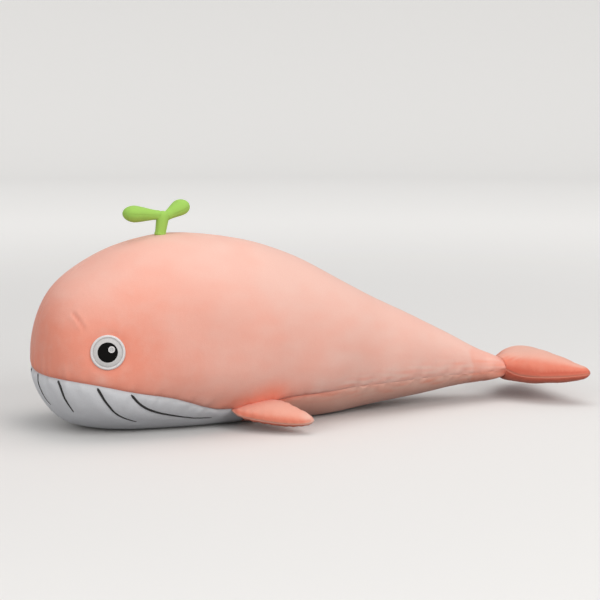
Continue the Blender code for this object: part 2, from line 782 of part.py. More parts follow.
def stem_profile(depth):
    """Radius and height along the stem, from its gathered base to its open top."""
    radius = STEM_DIAMETER / 2 - depth
    slope = math.tan(math.radians(STEM_BASE_SLOPE))
    low = GAP + depth + radius * slope
    top = STEM_LENGTH - depth
    shoulder = top - STEM_TOP_ROUNDING
    opening = STEM_OPENING / 2
    profile = [(radius / 2, low - radius / 2 * slope), (radius, low), (radius, shoulder)]
    for angle in LEAF_CAP_ANGLES:
        turn = math.radians(angle)
        inward = STEM_TOP_ROUNDING * (1 - math.cos(turn))
        profile.append((radius - inward, shoulder + STEM_TOP_ROUNDING * math.sin(turn)))
    profile.append((opening, top))
    return profile, GAP + depth


def stem_shapes():
    """The stem's skin, closed at the base and open at the top, and its stuffing."""
    skin = bmesh.new()
    rims = []
    for depth in (0.0, SPROUT_FABRIC):
        profile, tip = stem_profile(depth)
        rings = [[skin.verts.new(p) for p in ring] for ring in tube_rings(profile, STEM_SIDES)]
        grid_faces(skin, rings, closed=True)
        fan_faces(skin, skin.verts.new((0, 0, tip)), rings[0], closed=True)
        rims.append(rings[-1] + rings[-1][:1])
    wall_faces(skin, *rims)
    profile, tip = stem_profile(SPROUT_FABRIC + GAP)
    stuffing = bmesh.new()
    rings = [[stuffing.verts.new(p) for p in ring] for ring in tube_rings(profile, STEM_SIDES)]
    grid_faces(stuffing, rings, closed=True)
    fan_faces(stuffing, stuffing.verts.new((0, 0, tip)), rings[0], closed=True)
    stuffing.faces.new(rings[-1])
    return skin, stuffing


def leaf_rows(leaf, depth):
    """Place along, half width and half thickness of a leaf's rows, from its round root, which
    turns in place, to its round end. Then the places of its two tips."""
    length, half_width, half_height = leaf[:3]
    root = LEAF_ROOT_RADIUS - depth
    cap_start = LEAF_GROWTH_SHARES[-1][0] * length
    cap = length - cap_start - depth
    width, height = half_width - depth, half_height - depth
    rows = []
    for angle in LEAF_CAP_ANGLES:
        turn = math.radians(angle)
        rows.append((-root * math.cos(turn), root * math.sin(turn), root * math.sin(turn)))
    for place, growth in LEAF_GROWTH_SHARES:
        swell = (root + (width - root) * growth, root + (height - root) * growth)
        rows.append((place * length, *swell))
    for angle in reversed(LEAF_CAP_ANGLES):
        turn = math.radians(angle)
        rows.append((cap_start + cap * math.cos(turn), width * math.sin(turn), height * math.sin(turn)))
    return rows, (-root, cap_start + cap)


def leaf_points(leaf, depth, first, last, edge_gap):
    """Points round a leaf from column first to column last. Column 0 is its right seam."""
    rows, _ = leaf_rows(leaf, depth)
    grid = []
    for x, width, height in rows:
        row = []
        for column in range(first, last + 1):
            turn = 2 * math.pi * column / LEAF_SIDES
            if edge_gap and column in (first, last):
                turn += (1 if column == first else -1) * edge_gap / height
            row.append(Vector((x, -width * math.cos(turn), height * math.sin(turn))))
        grid.append(row)
    return grid


def leaf_tips(leaf, depth, up):
    return [Vector((x, 0, up)) for x in leaf_rows(leaf, depth)[1]]


def build_leaf(word, leaf, stem):
    rise, heading = math.radians(leaf[3]), math.radians(leaf[4])
    reach = LEAF_ROOT_RADIUS + GAP
    place = Vector((-math.cos(heading), -math.sin(heading), 0)) * reach
    place.z = STEM_LENGTH + reach
    pivot = add_pivot(f"leaf_bend_{word}", place, (0, -rise, math.pi + heading), stem)
    half = LEAF_SIDES // 2
    for piece, first, last, up in (("upper", 0, half, GAP / 2), ("lower", half, 2 * half, -GAP / 2)):
        outer = leaf_points(leaf, 0.0, first, last, GAP / 2)
        inner = leaf_points(leaf, SPROUT_FABRIC, first, last, GAP / 2)
        tips = list(zip(leaf_tips(leaf, 0.0, up), leaf_tips(leaf, SPROUT_FABRIC, up)))
        shape = sheet_shape(outer, inner, *tips)
        add_object(f"leaf_{piece}_panel_{word}", shape, "green", pivot)
    depth = SPROUT_FABRIC + GAP
    shape = bmesh.new()
    grid = leaf_points(leaf, depth, 0, LEAF_SIDES - 1, 0.0)
    rings = [[shape.verts.new(p) for p in row] for row in grid]
    grid_faces(shape, rings, closed=True)
    for tip, ring in zip(leaf_tips(leaf, depth, 0.0), (rings[0], rings[-1])):
        fan_faces(shape, shape.verts.new(tip), ring, closed=True)
    add_object(f"leaf_stuffing_{word}", shape, "stuffing", pivot)


def build_sprout():
    foot = skin_point(section_at(SPROUT_SHARE), 0.0)
    stem = add_pivot("stem_bend", foot, (0, math.radians(STEM_LEAN), 0))
    skin, stuffing = stem_shapes()
    add_object("stem_skin", skin, "green", stem)
    add_object("stem_stuffing", stuffing, "stuffing", stem)
    for word, leaf in LEAVES.items():
        build_leaf(word, leaf, stem)


def main():
    clear_scene()
    build_body()
    for word, side in (("left", 1), ("right", -1)):
        build_eye(word, side)
    build_stripes()
    build_fluke()
    for word, side in (("left", -1), ("right", 1)):
        build_flipper(word, side)
    build_sprout()


main()
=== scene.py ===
# %% [markdown]
# # A stuffed velvet whale
#
# The real toy is sewn from stretchy short-pile velvet and stuffed until it is round. Its looks
# come from three things: the smooth swollen shape, the seams and stitches that pull it in, and
# the pile, which turns pale where it is seen along the nap and deep where it lies in a crease.
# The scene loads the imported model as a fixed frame, then dresses it: each velvet panel is built
# again as a fine mesh in the same place, with its seams, stitches and folds as real shape.

import math

import bmesh
import bpy
import numpy as np
from mathutils import Matrix, Vector
from mathutils.bvhtree import BVHTree
from mathutils.geometry import delaunay_2d_cdt


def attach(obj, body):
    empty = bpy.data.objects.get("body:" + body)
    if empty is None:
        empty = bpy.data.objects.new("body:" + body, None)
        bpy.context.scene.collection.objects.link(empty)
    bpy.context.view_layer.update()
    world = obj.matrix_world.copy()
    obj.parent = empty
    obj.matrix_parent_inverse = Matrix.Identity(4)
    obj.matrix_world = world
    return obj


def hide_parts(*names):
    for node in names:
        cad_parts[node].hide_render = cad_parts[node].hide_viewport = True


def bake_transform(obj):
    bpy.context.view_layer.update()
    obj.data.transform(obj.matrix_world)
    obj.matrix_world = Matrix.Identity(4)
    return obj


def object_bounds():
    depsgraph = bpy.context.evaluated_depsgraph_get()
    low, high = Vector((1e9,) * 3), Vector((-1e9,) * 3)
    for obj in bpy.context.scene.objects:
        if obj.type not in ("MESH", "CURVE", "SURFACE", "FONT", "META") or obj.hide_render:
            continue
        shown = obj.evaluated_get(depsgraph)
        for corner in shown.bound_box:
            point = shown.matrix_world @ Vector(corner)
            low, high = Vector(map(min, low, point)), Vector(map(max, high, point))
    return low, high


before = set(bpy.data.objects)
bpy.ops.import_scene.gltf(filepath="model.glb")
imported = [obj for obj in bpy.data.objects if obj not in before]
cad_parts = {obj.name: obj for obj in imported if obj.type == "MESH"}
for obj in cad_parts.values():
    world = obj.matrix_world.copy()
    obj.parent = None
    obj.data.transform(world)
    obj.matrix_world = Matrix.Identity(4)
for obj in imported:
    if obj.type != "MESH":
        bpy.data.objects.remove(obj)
CAD_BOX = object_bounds()
MM = 0.001
print("model box", [[round(v, 3) for v in corner] for corner in CAD_BOX])

# %% [markdown]
# ## Camera
#
# The picture was taken with a long lens from a little ahead of the whale's left side, just above
# the height of its back. A long lens far away keeps the near and the far flipper almost the same
# size. The camera comes first, so that every later shape can be judged through it.

# %% Place the camera
VIEW_AZIMUTH = math.radians(-20.0)
VIEW_PITCH = math.radians(7.4)       # downwards
VIEW_DISTANCE = 2.45                 # along the ground, from below the view's middle
VIEW_HEIGHT = 0.482
VIEW_MIDDLE_X = -0.018
LENS = 102.0                         # for a sensor 36 mm wide

camera_data = bpy.data.cameras.new("view")
camera_data.lens = LENS
camera_data.sensor_width = 36.0
camera = bpy.data.objects.new("view", camera_data)
camera.location = (
    VIEW_MIDDLE_X + math.sin(VIEW_AZIMUTH) * VIEW_DISTANCE,
    -math.cos(VIEW_AZIMUTH) * VIEW_DISTANCE,
    VIEW_HEIGHT,
)
camera.rotation_euler = (math.pi / 2 - VIEW_PITCH, 0, VIEW_AZIMUTH)
bpy.context.collection.objects.link(camera)
bpy.context.scene.camera = camera
print("camera at", [round(v, 3) for v in camera.location])

# %% [markdown]
# ## Floor and light
#
# A plain studio: a pale round floor that curves up into a wall, a big soft lamp above the toy, a
# window from the right, a fill at the head, and an even sky. The lamps stay at a level at which
# a colour renders about as it is written. The floor looks pale to the camera but sends less
# light to the velvet, so that the underside keeps its shade, and the wall far behind looks
# lighter than the lamps make it, so that it stays a plain background.

# %% Helpers for node trees
def node_in(tree, kind, **sockets):
    """Add a shader node and set some of its inputs by name."""
    made = tree.nodes.new(kind)
    for name, value in sockets.items():
        made.inputs[name.replace("_", " ")].default_value = value
    return made


def reckon(tree, operation, *values):
    """A math node. Each value is a number or a socket."""
    made = tree.nodes.new("ShaderNodeMath")
    made.operation = operation
    for socket, value in zip(made.inputs, values):
        if isinstance(value, float):
            socket.default_value = value
        else:
            tree.links.new(value, socket)
    return made.outputs[0]


def spread(tree, value, low, high, to_low=0.0, to_high=1.0):
    """Stretch a value's middle range, softly, to another range."""
    made = tree.nodes.new("ShaderNodeMapRange")
    made.interpolation_type = "SMOOTHSTEP"
    for name, number in (("From Min", low), ("From Max", high), ("To Min", to_low), ("To Max", to_high)):
        made.inputs[name].default_value = number
    tree.links.new(value, made.inputs["Value"])
    return made.outputs["Result"]


def blend_colour(tree, factor, first, second):
    """Mix two colours, each a tuple or a socket."""
    made = tree.nodes.new("ShaderNodeMix")
    made.data_type = "RGBA"
    for index, value in ((6, first), (7, second)):
        if isinstance(value, tuple):
            made.inputs[index].default_value = (*value, 1.0)
        else:
            tree.links.new(value, made.inputs[index])
    tree.links.new(factor, made.inputs[0])
    return made.outputs[2]


def new_material(name, specular):
    """A material with its node tree, its shader and the object's own place in metres."""
    made = bpy.data.materials.new(name)
    made.use_nodes = True
    tree = made.node_tree
    shader = tree.nodes["Principled BSDF"]
    shader.inputs["Specular IOR Level"].default_value = specular
    return made, tree, shader, tree.nodes.new("ShaderNodeTexCoord").outputs["Object"]


print("helpers:", [helper.__name__ for helper in (node_in, reckon, spread, blend_colour, new_material)])

# %% [markdown]
# ## Studio paper
#
# Real studio paper is one even sheet. Here its colour is told apart by who looks: the camera and
# the gloss see it pale, the light that it throws back on the velvet is darker. Towards the window
# the sheet lies right under the lamp, so it is written darker there and renders about as pale as
# the rest. A painted backdrop would fit one view only, and the toy is looked at from all sides.

# %% Paper
FLOOR_LOOK = (0.80, 0.79, 0.77)
FLOOR_BOUNCE = (0.29, 0.29, 0.295)
BACKDROP_GLOW = 0.36                 # what the wall sends to the camera beyond its own light
GLOW_COLOUR = (1.0, 0.985, 0.95)
GLOW_RANGE = (0.5, 3.6)              # from where to where it grows, from the toy's middle
LAMP_SIDE = (-2.6, -0.95)            # between these the floor passes under the window's lamp
LAMP_SIDE_SHARE = 0.48               # how pale it is beyond, so that it doesn't turn white
PAPER_ROUGHNESS = 0.95


def stage_material():
    """Pale to the camera and in gloss, darker for the light that it throws on the toy."""
    made, tree, shader, place = new_material("studio paper", 0.1)
    shader.inputs["Roughness"].default_value = PAPER_ROUGHNESS
    path = tree.nodes.new("ShaderNodeLightPath").outputs
    parts = tree.nodes.new("ShaderNodeSeparateXYZ")
    tree.links.new(place, parts.inputs[0])
    evened = spread(tree, parts.outputs["Y"], *LAMP_SIDE, LAMP_SIDE_SHARE, 1.0)
    paper = tree.nodes.new("ShaderNodeVectorMath")
    paper.operation = "SCALE"
    paper.inputs[0].default_value = FLOOR_LOOK
    tree.links.new(evened, paper.inputs["Scale"])
    seen = reckon(tree, "MAXIMUM", path["Is Camera Ray"], path["Is Glossy Ray"])
    colour = blend_colour(tree, seen, FLOOR_BOUNCE, paper.outputs[0])
    tree.links.new(colour, shader.inputs["Base Color"])
    away = tree.nodes.new("ShaderNodeVectorMath")
    away.operation = "LENGTH"
    tree.links.new(place, away.inputs[0])
    glow = spread(tree, away.outputs["Value"], *GLOW_RANGE, 0.0, BACKDROP_GLOW)
    shown = reckon(tree, "MULTIPLY", reckon(tree, "MULTIPLY", glow, evened), path["Is Camera Ray"])
    shader.inputs["Emission Color"].default_value = (*GLOW_COLOUR, 1.0)
    tree.links.new(shown, shader.inputs["Emission Strength"])
    return made


PAPER = stage_material()
print(PAPER.name, "has", len(PAPER.node_tree.nodes), "nodes")

# %% Floor and wall
BACKDROP_REACH = 7.5
BACKDROP_BEND = 1.5
BACKDROP_TALL = 2.4
BEND_STEPS = 12
FLOOR_SIDES = 96


def build_stage():
    """A round floor that bends up into a low wall all round, as one smooth sheet."""
    profile = [(0.0, 0.0), (1.0, 0.0), (3.0, 0.0), (BACKDROP_REACH - BACKDROP_BEND, 0.0)]
    for k in range(1, BEND_STEPS + 1):
        turn = math.pi / 2 * k / BEND_STEPS
        reach = BACKDROP_REACH - BACKDROP_BEND * (1 - math.sin(turn))
        profile.append((reach, BACKDROP_BEND * (1 - math.cos(turn))))
    profile.append((BACKDROP_REACH, BACKDROP_TALL))
    turns = 2 * math.pi * np.arange(FLOOR_SIDES) / FLOOR_SIDES
    points = [(0.0, 0.0, 0.0)]
    for reach, height in profile[1:]:
        points += [(reach * math.cos(u), reach * math.sin(u), height) for u in turns]
    rows = np.arange(1, len(points)).reshape(-1, FLOOR_SIDES)
    net = [(0, int(a), int(b)) for a, b in zip(rows[0], np.roll(rows[0], -1))]
    for low, high in zip(rows, rows[1:]):
        net += [tuple(map(int, corners)) for corners in zip(low, high, np.roll(high, -1), np.roll(low, -1))]
    mesh = bpy.data.meshes.new("studio_floor")
    mesh.from_pydata(points, [], net)
    mesh.shade_smooth()
    mesh.materials.append(PAPER)
    floor = bpy.data.objects.new("studio_floor", mesh)
    bpy.context.collection.objects.link(floor)
    print("floor of", len(points), "points")


build_stage()

# %% Light the stage
LAMPS = {
    # name: place, what it points at, size, power in watts, colour
    "overhead": ((0.5, 0.1, 2.3), (0, 0, 0.1), 2.2, 16.5, (1.0, 0.99, 0.975)),
    "window": ((1.45, -3.7, 1.95), (0, 0, 0.1), 3.0, 88.0, (1.0, 0.99, 0.98)),
    "fill": ((-3.4, -2.2, 1.3), (-0.3, 0, 0.1), 2.5, 50.0, (1.0, 0.98, 0.96)),
}
SKY = (0.98, 0.98, 1.0)
SKY_STRENGTH = 0.57


def add_lamp(name, place, target, size, power, colour):
    """A round soft lamp that faces a point."""
    data = bpy.data.lights.new(name, "AREA")
    data.shape = "DISK"
    data.size = size
    data.energy = power
    data.color = colour
    lamp = bpy.data.objects.new(name, data)
    lamp.location = place
    aim = Vector(target) - Vector(place)
    lamp.rotation_euler = aim.to_track_quat("-Z", "Y").to_euler()
    bpy.context.collection.objects.link(lamp)


for lamp_name, lamp_values in LAMPS.items():
    add_lamp(lamp_name, *lamp_values)
world = bpy.data.worlds.new("sky")
world.use_nodes = True
background = world.node_tree.nodes["Background"]
background.inputs["Color"].default_value = (*SKY, 1.0)
background.inputs["Strength"].default_value = SKY_STRENGTH
bpy.context.scene.world = world
bpy.context.scene.view_settings.view_transform = "Standard"
print(len(LAMPS), "lamps")

# %% [markdown]
# ## Velvet
#
# Short-pile velvet scatters light at the tips of its fibres, so it pales towards its outline,
# and it darkens where the pile is pressed the other way. The shader has a sheen layer for the
# first, and for the second a colour that wanders over the cloth in soft brushed patches. Each
# panel also carries two numbers at every point. The first, lean, says how pale the colour is,
# from 0, the full colour, to 1, pale: partly the pile brushed up, and partly painted sheen. The
# second deepens the colour beside seams and stitches, partly as flat pile and partly as painted
# shade in the creases. Fine noise stands for the fibres.

# %% Noise and bumps
def noise_in(tree, place, scale, detail=2.0, stretch=None):
    """A noise texture in real metres, its scale in waves per metre."""
    source = place
    if stretch:
        squeeze = node_in(tree, "ShaderNodeMapping", Scale=stretch)
        tree.links.new(place, squeeze.inputs["Vector"])
        source = squeeze.outputs["Vector"]
    made = node_in(tree, "ShaderNodeTexNoise", Scale=scale, Detail=detail, Roughness=0.55)
    tree.links.new(source, made.inputs["Vector"])
    return made.outputs["Fac"]


def number_in(tree, name):
    """A number that the mesh carries at every point."""
    made = tree.nodes.new("ShaderNodeAttribute")
    made.attribute_name = name
    return made.outputs["Fac"]


def bump(tree, height, distance, strength=1.0, under=None):
    """Small relief from a height, on top of another relief if there is one."""
    made = node_in(tree, "ShaderNodeBump", Strength=strength, Distance=distance)
    tree.links.new(height, made.inputs["Height"])
    if under:
        tree.links.new(under, made.inputs["Normal"])
    return made.outputs["Normal"]


def dress(tree, shader, colour, roughness, normal):
    """Give a shader its three changing inputs."""
    tree.links.new(colour, shader.inputs["Base Color"])
    tree.links.new(roughness, shader.inputs["Roughness"])
    tree.links.new(normal, shader.inputs["Normal"])


print("helpers:", [helper.__name__ for helper in (noise_in, number_in, bump, dress)])

# %% Velvet and fleece
PILE_WAVES = 900.0                   # fibres' clumps per metre
BRUSHED_WAVES = 9.0                  # broad patches where the pile leans one way
MOTTLE_WAVES = 55.0
BRUSHED = 0.25                       # how far those patches lean either way
SHEEN_ROUGHNESS = 0.35


def velvet(name, pale, full, deep, sheen, sheen_tint, waves=PILE_WAVES):
    """Short pile: pale is its colour where it is brushed up and under painted sheen, full where it
    lies flat, and deep as painted shade in creases, where the second number is high."""
    made, tree, shader, place = new_material(name, 0.15)
    patches = noise_in(tree, place, BRUSHED_WAVES, 3.0)
    mottle = noise_in(tree, place, MOTTLE_WAVES, 4.0)
    brushed = spread(tree, patches, 0.3, 0.7, -BRUSHED, BRUSHED)
    # towards pale: the pile's brushed patches, and the painted sheen that the lean number carries
    lean = reckon(tree, "MULTIPLY_ADD", brushed, 0.5, number_in(tree, "lean"))
    colour = blend_colour(tree, lean, full, pale)
    colour = blend_colour(tree, spread(tree, mottle, 0.4, 0.8, 0.0, 0.2), colour, pale)
    # painted shade: deep colour where the second number is high, in creases and on limbs
    colour = blend_colour(tree, number_in(tree, "nap_shade"), colour, deep)
    pile = noise_in(tree, place, waves, 3.0)
    colour = blend_colour(tree, spread(tree, pile, 0.3, 0.7, 0.0, 0.10), colour, deep)
    relief = bump(tree, mottle, 2.0 * MM, 0.25, bump(tree, pile, 0.6 * MM, 0.5))
    dress(tree, shader, colour, spread(tree, mottle, 0.3, 0.7, 0.78, 0.95), relief)
    shader.inputs["Sheen Weight"].default_value = sheen
    shader.inputs["Sheen Roughness"].default_value = SHEEN_ROUGHNESS
    shader.inputs["Sheen Tint"].default_value = (*sheen_tint, 1.0)
    return made


PINK_VELVET = velvet("pink velvet", (0.88, 0.56, 0.47), (0.90, 0.335, 0.235),
                     (0.70, 0.165, 0.105), 0.30, (1.0, 0.88, 0.82))
SALMON_VELVET = velvet("salmon velvet", (0.83, 0.50, 0.40), (0.83, 0.28, 0.185), (0.62, 0.13, 0.08),
                       0.30, (1.0, 0.82, 0.75))
WHITE_VELVET = velvet("white velvet", (0.81, 0.82, 0.84), (0.75, 0.76, 0.78), (0.42, 0.42, 0.43),
                      0.20, (1.0, 1.0, 1.0))
GREEN_FLEECE = velvet("green fleece", (0.40, 0.66, 0.14), (0.34, 0.60, 0.105), (0.20, 0.38, 0.045),
                      0.20, (0.9, 1.0, 0.6), 1400.0)
PILE_CLOTHS = (PINK_VELVET, SALMON_VELVET, WHITE_VELVET, GREEN_FLEECE)
print(len(PILE_CLOTHS), "pile cloths, each of", len(PINK_VELVET.node_tree.nodes), "nodes")

# %% [markdown]
# ## The body's swollen shape
#
# Stuffed velvet has no corner of its own: it swells until the seams stop it. So the body is one
# smooth surface first, drawn through fifteen sections from snout to waist, and the panels are
# cut out of that surface along the seams. A spline with even curvature runs through the
# sections. Each section is an ellipse whose widest line sits low, because the stuffing sinks.

# %% Sections of the body
BODY_LENGTH = 0.716
BODY_HEIGHT = 0.2675
BODY_WIDTH = 0.274
SNOUT_X = CAD_BOX[0][0]
WAIST_X = SNOUT_X + BODY_LENGTH
SETTLE = 0.003                       # how softly the belly rounds into its flat
REST_CUT = 0.0005
ROUNDNESS = 2.1
SECTION_SHARES = np.array([
    # along, top, bottom, half width, widest height, seam height
    (0.000, 0.320, 0.320, 0.000, 0.320, 0.320), (0.006, 0.462, 0.240, 0.320, 0.325, 0.318),
    (0.022, 0.635, 0.155, 0.585, 0.335, 0.317), (0.056, 0.766, 0.060, 0.790, 0.350, 0.306),
    (0.109, 0.870, 0.002, 0.912, 0.366, 0.281), (0.176, 0.950, -0.026, 0.978, 0.378, 0.239),
    (0.258, 1.000, -0.030, 1.000, 0.381, 0.181), (0.349, 0.994, -0.030, 0.978, 0.381, 0.112),
    (0.447, 0.946, -0.030, 0.920, 0.366, 0.140), (0.545, 0.856, -0.026, 0.825, 0.344, 0.165),
    (0.642, 0.711, 0.002, 0.686, 0.314, 0.178), (0.740, 0.577, 0.040, 0.533, 0.273, 0.183),
    (0.838, 0.449, 0.075, 0.387, 0.236, 0.180), (0.922, 0.322, 0.098, 0.270, 0.198, 0.176),
    (1.000, 0.250, 0.114, 0.212, 0.178, 0.178),
])
LAST_SECTION = len(SECTION_SHARES) - 1
CROSS_SEAM = 7.5                     # where the white belly ends
WAIST_Z = SECTION_SHARES[-1, 4] * BODY_HEIGHT
MIRRORED = 3                         # sections repeated beyond the snout, to close it smoothly


def even_spline(rows):
    """Second slopes of the smooth curve through evenly spaced rows."""
    count = len(rows)
    matrix = np.eye(count)
    right = np.zeros_like(rows)
    for k in range(1, count - 1):
        matrix[k, k - 1:k + 2] = (1, 4, 1)
        right[k] = 6 * (rows[k - 1] - 2 * rows[k] + rows[k + 1])
    return np.linalg.solve(matrix, right)


mirrored = 2 * SECTION_SHARES[0] - SECTION_SHARES[MIRRORED:0:-1]
mirrored[:, 0] = SECTION_SHARES[MIRRORED:0:-1, 0]
KNOTS = np.vstack((mirrored, SECTION_SHARES))
KNOT_BENDS = even_spline(KNOTS)
SCALES = np.array((BODY_LENGTH, BODY_HEIGHT, BODY_HEIGHT, BODY_WIDTH / 2, BODY_HEIGHT, BODY_HEIGHT))
print("spline through", len(SECTION_SHARES), "sections")

# %% The smooth surface
def section(t):
    """Along, top, bottom, half width, widest height and seam height at t, in metres."""
    t = np.asarray(t, float) + MIRRORED
    i = np.clip(t.astype(int), 0, len(KNOTS) - 2)
    f = (t - i)[..., None]
    g = 1 - f
    bend = (g ** 3 - g) * KNOT_BENDS[i] + (f ** 3 - f) * KNOT_BENDS[i + 1]
    return np.moveaxis((g * KNOTS[i] + f * KNOTS[i + 1] + bend / 6) * SCALES, -1, 0)


LOWEST = SECTION_SHARES[:, 2].min() * BODY_HEIGHT
SETTLE_DEPTH = (LOWEST + math.sqrt(LOWEST ** 2 + 4 * SETTLE ** 2)) / 2 + REST_CUT


def skin(t, angle):
    """Points of the body's surface. The angle starts at the spine and turns over the left
    side, towards -Y, to the belly at pi."""
    along, top, bottom, half, widest, _ = section(t)
    c, s = np.cos(angle), np.sin(angle)
    reach = np.where(c >= 0, top - widest, widest - bottom)
    z = widest + reach * np.sign(c) * np.abs(c) ** (2 / ROUNDNESS)
    z = np.maximum((z + np.sqrt(z * z + 4 * SETTLE ** 2)) / 2 - SETTLE_DEPTH, 0)
    y = -half * np.sign(s) * np.abs(s) ** (2 / ROUNDNESS)
    return np.stack(np.broadcast_arrays(SNOUT_X + along, y, z), -1)


def seam_angle(t):
    """Where the side seam runs: its angle at section t, on the left."""
    _, _, bottom, _, widest, seam = section(t)
    share = np.clip((widest - seam) / np.maximum(widest - bottom, MM / 10), 0, 1)
    return math.pi / 2 + np.arcsin(share ** (ROUNDNESS / 2))


def unit(vectors):
    """Vectors of length one."""
    return vectors / np.maximum(np.linalg.norm(vectors, axis=-1, keepdims=True), 1e-12)


def skin_normal(t, angle, step=0.004):
    """The surface's outward directions."""
    along = skin(t + step, angle) - skin(np.asarray(t) - step, angle)
    round_ = skin(t, angle + step) - skin(t, np.asarray(angle) - step)
    found = unit(np.cross(round_, along))
    middle = skin(t, angle)
    ahead = -0.05 * np.clip(1 - np.asarray(t) / 2, 0, 1)     # near the snout outward is also forward
    outward = np.stack((ahead + 0 * middle[..., 0], middle[..., 1], middle[..., 2] - section(t)[4]), -1)
    flipped = np.where((found * outward).sum(-1, keepdims=True) < 0, -found, found)
    at_pole = np.clip(1.2 - np.asarray(t)[..., None] / 0.25, 0, 1)
    return unit(flipped * (1 - at_pole) + np.array((-1.0, 0, 0)) * at_pole)


print("highest point", round(float(skin(6.2, 0.0)[2]), 4), "m")

# %% [markdown]
# ## Seams, puckers and creases
#
# A seam is the one place where velvet cannot swell, so both panels dive into it. The thread is
# shorter than the cloth, so the cloth gathers into small puckers that die out a finger's width
# away. All this is added as a height along the surface's own direction: how deep a point lies
# follows from its distance to the nearest seam line, and how the puckers run from its place
# along that line. Soft lumps of filling come last.

# %% Distances and soft noise
def along_curve(points, curve):
    """For each point, its distance to a chain of points and how far along the chain it is."""
    starts, steps = curve[:-1], np.diff(curve, axis=0)
    lengths = np.linalg.norm(steps, axis=1)
    before = np.concatenate(([0], np.cumsum(lengths)))[:-1]
    flat = points.reshape(-1, points.shape[-1])
    distance, place = np.empty(len(flat)), np.empty(len(flat))
    for k in range(0, len(flat), 4000):
        part = flat[k:k + 4000, None, :] - starts
        f = np.clip((part * steps).sum(-1) / np.maximum(lengths ** 2, 1e-12), 0, 1)
        gaps = np.linalg.norm(part - f[..., None] * steps, axis=-1)
        best = gaps.argmin(1)
        rows = np.arange(len(best))
        distance[k:k + 4000] = gaps[rows, best]
        place[k:k + 4000] = before[best] + f[rows, best] * lengths[best]
    return distance.reshape(points.shape[:-1]), place.reshape(points.shape[:-1])


def run_along(chain_points):
    """How far along a chain of points each of them lies."""
    return np.concatenate(([0], np.cumsum(np.linalg.norm(np.diff(chain_points, axis=0), axis=1))))


def ripples(points, wavelength, seed, count=16):
    """Smooth noise of about one unit, from plane waves in all directions."""
    chance = np.random.default_rng(seed)
    headings = unit(chance.normal(size=(count, points.shape[-1])))
    headings /= wavelength * chance.uniform(0.7, 1.5, (count, 1))
    turns = points @ headings.T + chance.uniform(0, 1, count)
    return np.sin(turns * 2 * math.pi).sum(-1) / math.sqrt(count / 2)


def chain(t, angle):
    """Points of the surface along a line of it."""
    return skin(np.asarray(t, float), np.broadcast_to(angle, np.shape(t)))


LONG_T = np.linspace(0, LAST_SECTION, 260)
cross_start = float(seam_angle(CROSS_SEAM))
cross_angles = np.linspace(cross_start, 2 * math.pi - cross_start, 90)
MIRROR = np.array((1.0, -1.0, 1.0))
SIDE_SEAM = chain(LONG_T, seam_angle(LONG_T))
SEAMS = {
    # name: line, depth at the seam, how far the dip reaches, strength of the puckers
    "side": (SIDE_SEAM, 2.8 * MM, 4.0 * MM, 0.6 * MM),
    "spine": (chain(LONG_T, 0.0), 0.5 * MM, 1.6 * MM, 0.10 * MM),
    "cross": (skin(np.full(90, CROSS_SEAM), cross_angles), 2.4 * MM, 4.5 * MM, 0.6 * MM),
    "waist": (skin(np.full(90, float(LAST_SECTION)), np.linspace(0, 2 * math.pi, 90)),
              3.2 * MM, 8.0 * MM, 1.1 * MM),
}
for seam_name, (seam_line, *_) in SEAMS.items():
    print(seam_name, "seam:", run_along(seam_line)[-1].round(3), "m")

# %% Pull of the seams
PUCKER_WAVE = 0.016
PUCKER_REACH = 0.014
PUCKER_CLEAR = 0.0025                # the thread itself lies straight
REAR_SOFTER = 0.65                   # how much shallower the side seam is behind the belly
REAR_ROUGHER = 0.1                   # how much more it puckers there
REAR_START = (-0.06, 0.06)           # between these places along x the side seam changes so
NAP_SHADE_REACH = 0.9                      # how far the painted crease shade reaches, as a share of the dip's
NAP_SHADE_GATHERS = 0.25                   # how much the puckers change it
NAP_SHADE_DEPTH, NAP_SHADE_MOST = 3 * MM, 0.85   # it grows with the seam's depth, up to this share of 3 mm
NAP_SHADE_SHARE = 0.8
SEAM_FAR = 0.06                      # beyond this a seam no longer shows


def soft_step(value, low, high):
    """From 0 at low to 1 at high, without a corner."""
    share = np.clip((value - low) / (high - low), 0, 1)
    return share * share * (3 - 2 * share)


def to_left(points):
    """Mirror the points of the right half to the left one, where y is negative."""
    return np.stack((points[..., 0], -np.abs(points[..., 1]), points[..., 2]), -1)


def seam_pull(points):
    """How far seams pull each point in, and how much painted shade it gets in their crease, from 0 to 1."""
    flat = points.reshape(-1, 3)
    pull, nap_shade = np.zeros(len(flat)), np.zeros(len(flat))
    for seed, (name, (line, depth, reach, pucker)) in enumerate(SEAMS.items()):
        placed = to_left(flat) if name == "side" else flat
        rough, _ = along_curve(placed, line[::12])
        near = np.flatnonzero(rough < SEAM_FAR)
        distance, place = along_curve(placed[near], line[::3])
        place = place * np.where(flat[near, 1] > 0, -1, 1)
        gathers = ripples(np.stack((place, distance * 0.35), -1), PUCKER_WAVE, seed + 20)
        off_thread = 1 - np.exp(-distance / PUCKER_CLEAR)
        if name == "side":           # behind the belly the seam joins two cloths of one colour
            behind = soft_step(flat[near, 0], *REAR_START)
            depth = depth * (1 - REAR_SOFTER * behind)
            pucker = pucker * (1 + REAR_ROUGHER * behind)
        pull[near] += depth * np.exp(-distance / reach)
        pull[near] += pucker * gathers * off_thread * np.exp(-distance / PUCKER_REACH)
        # painted shade in the seam's crease, deeper for deeper seams
        crease = np.exp(-distance / (NAP_SHADE_REACH * reach)) * (1 + NAP_SHADE_GATHERS * gathers * off_thread)
        deep = np.minimum(depth / NAP_SHADE_DEPTH, NAP_SHADE_MOST) ** 2 * NAP_SHADE_SHARE
        nap_shade[near] = np.maximum(nap_shade[near], deep * crease)
    return pull.reshape(points.shape[:-1]), np.clip(nap_shade, 0, 1).reshape(points.shape[:-1])


print("depth of each seam alone, in mm:", {name: round(seam[1] / MM, 1) for name, seam in SEAMS.items()})
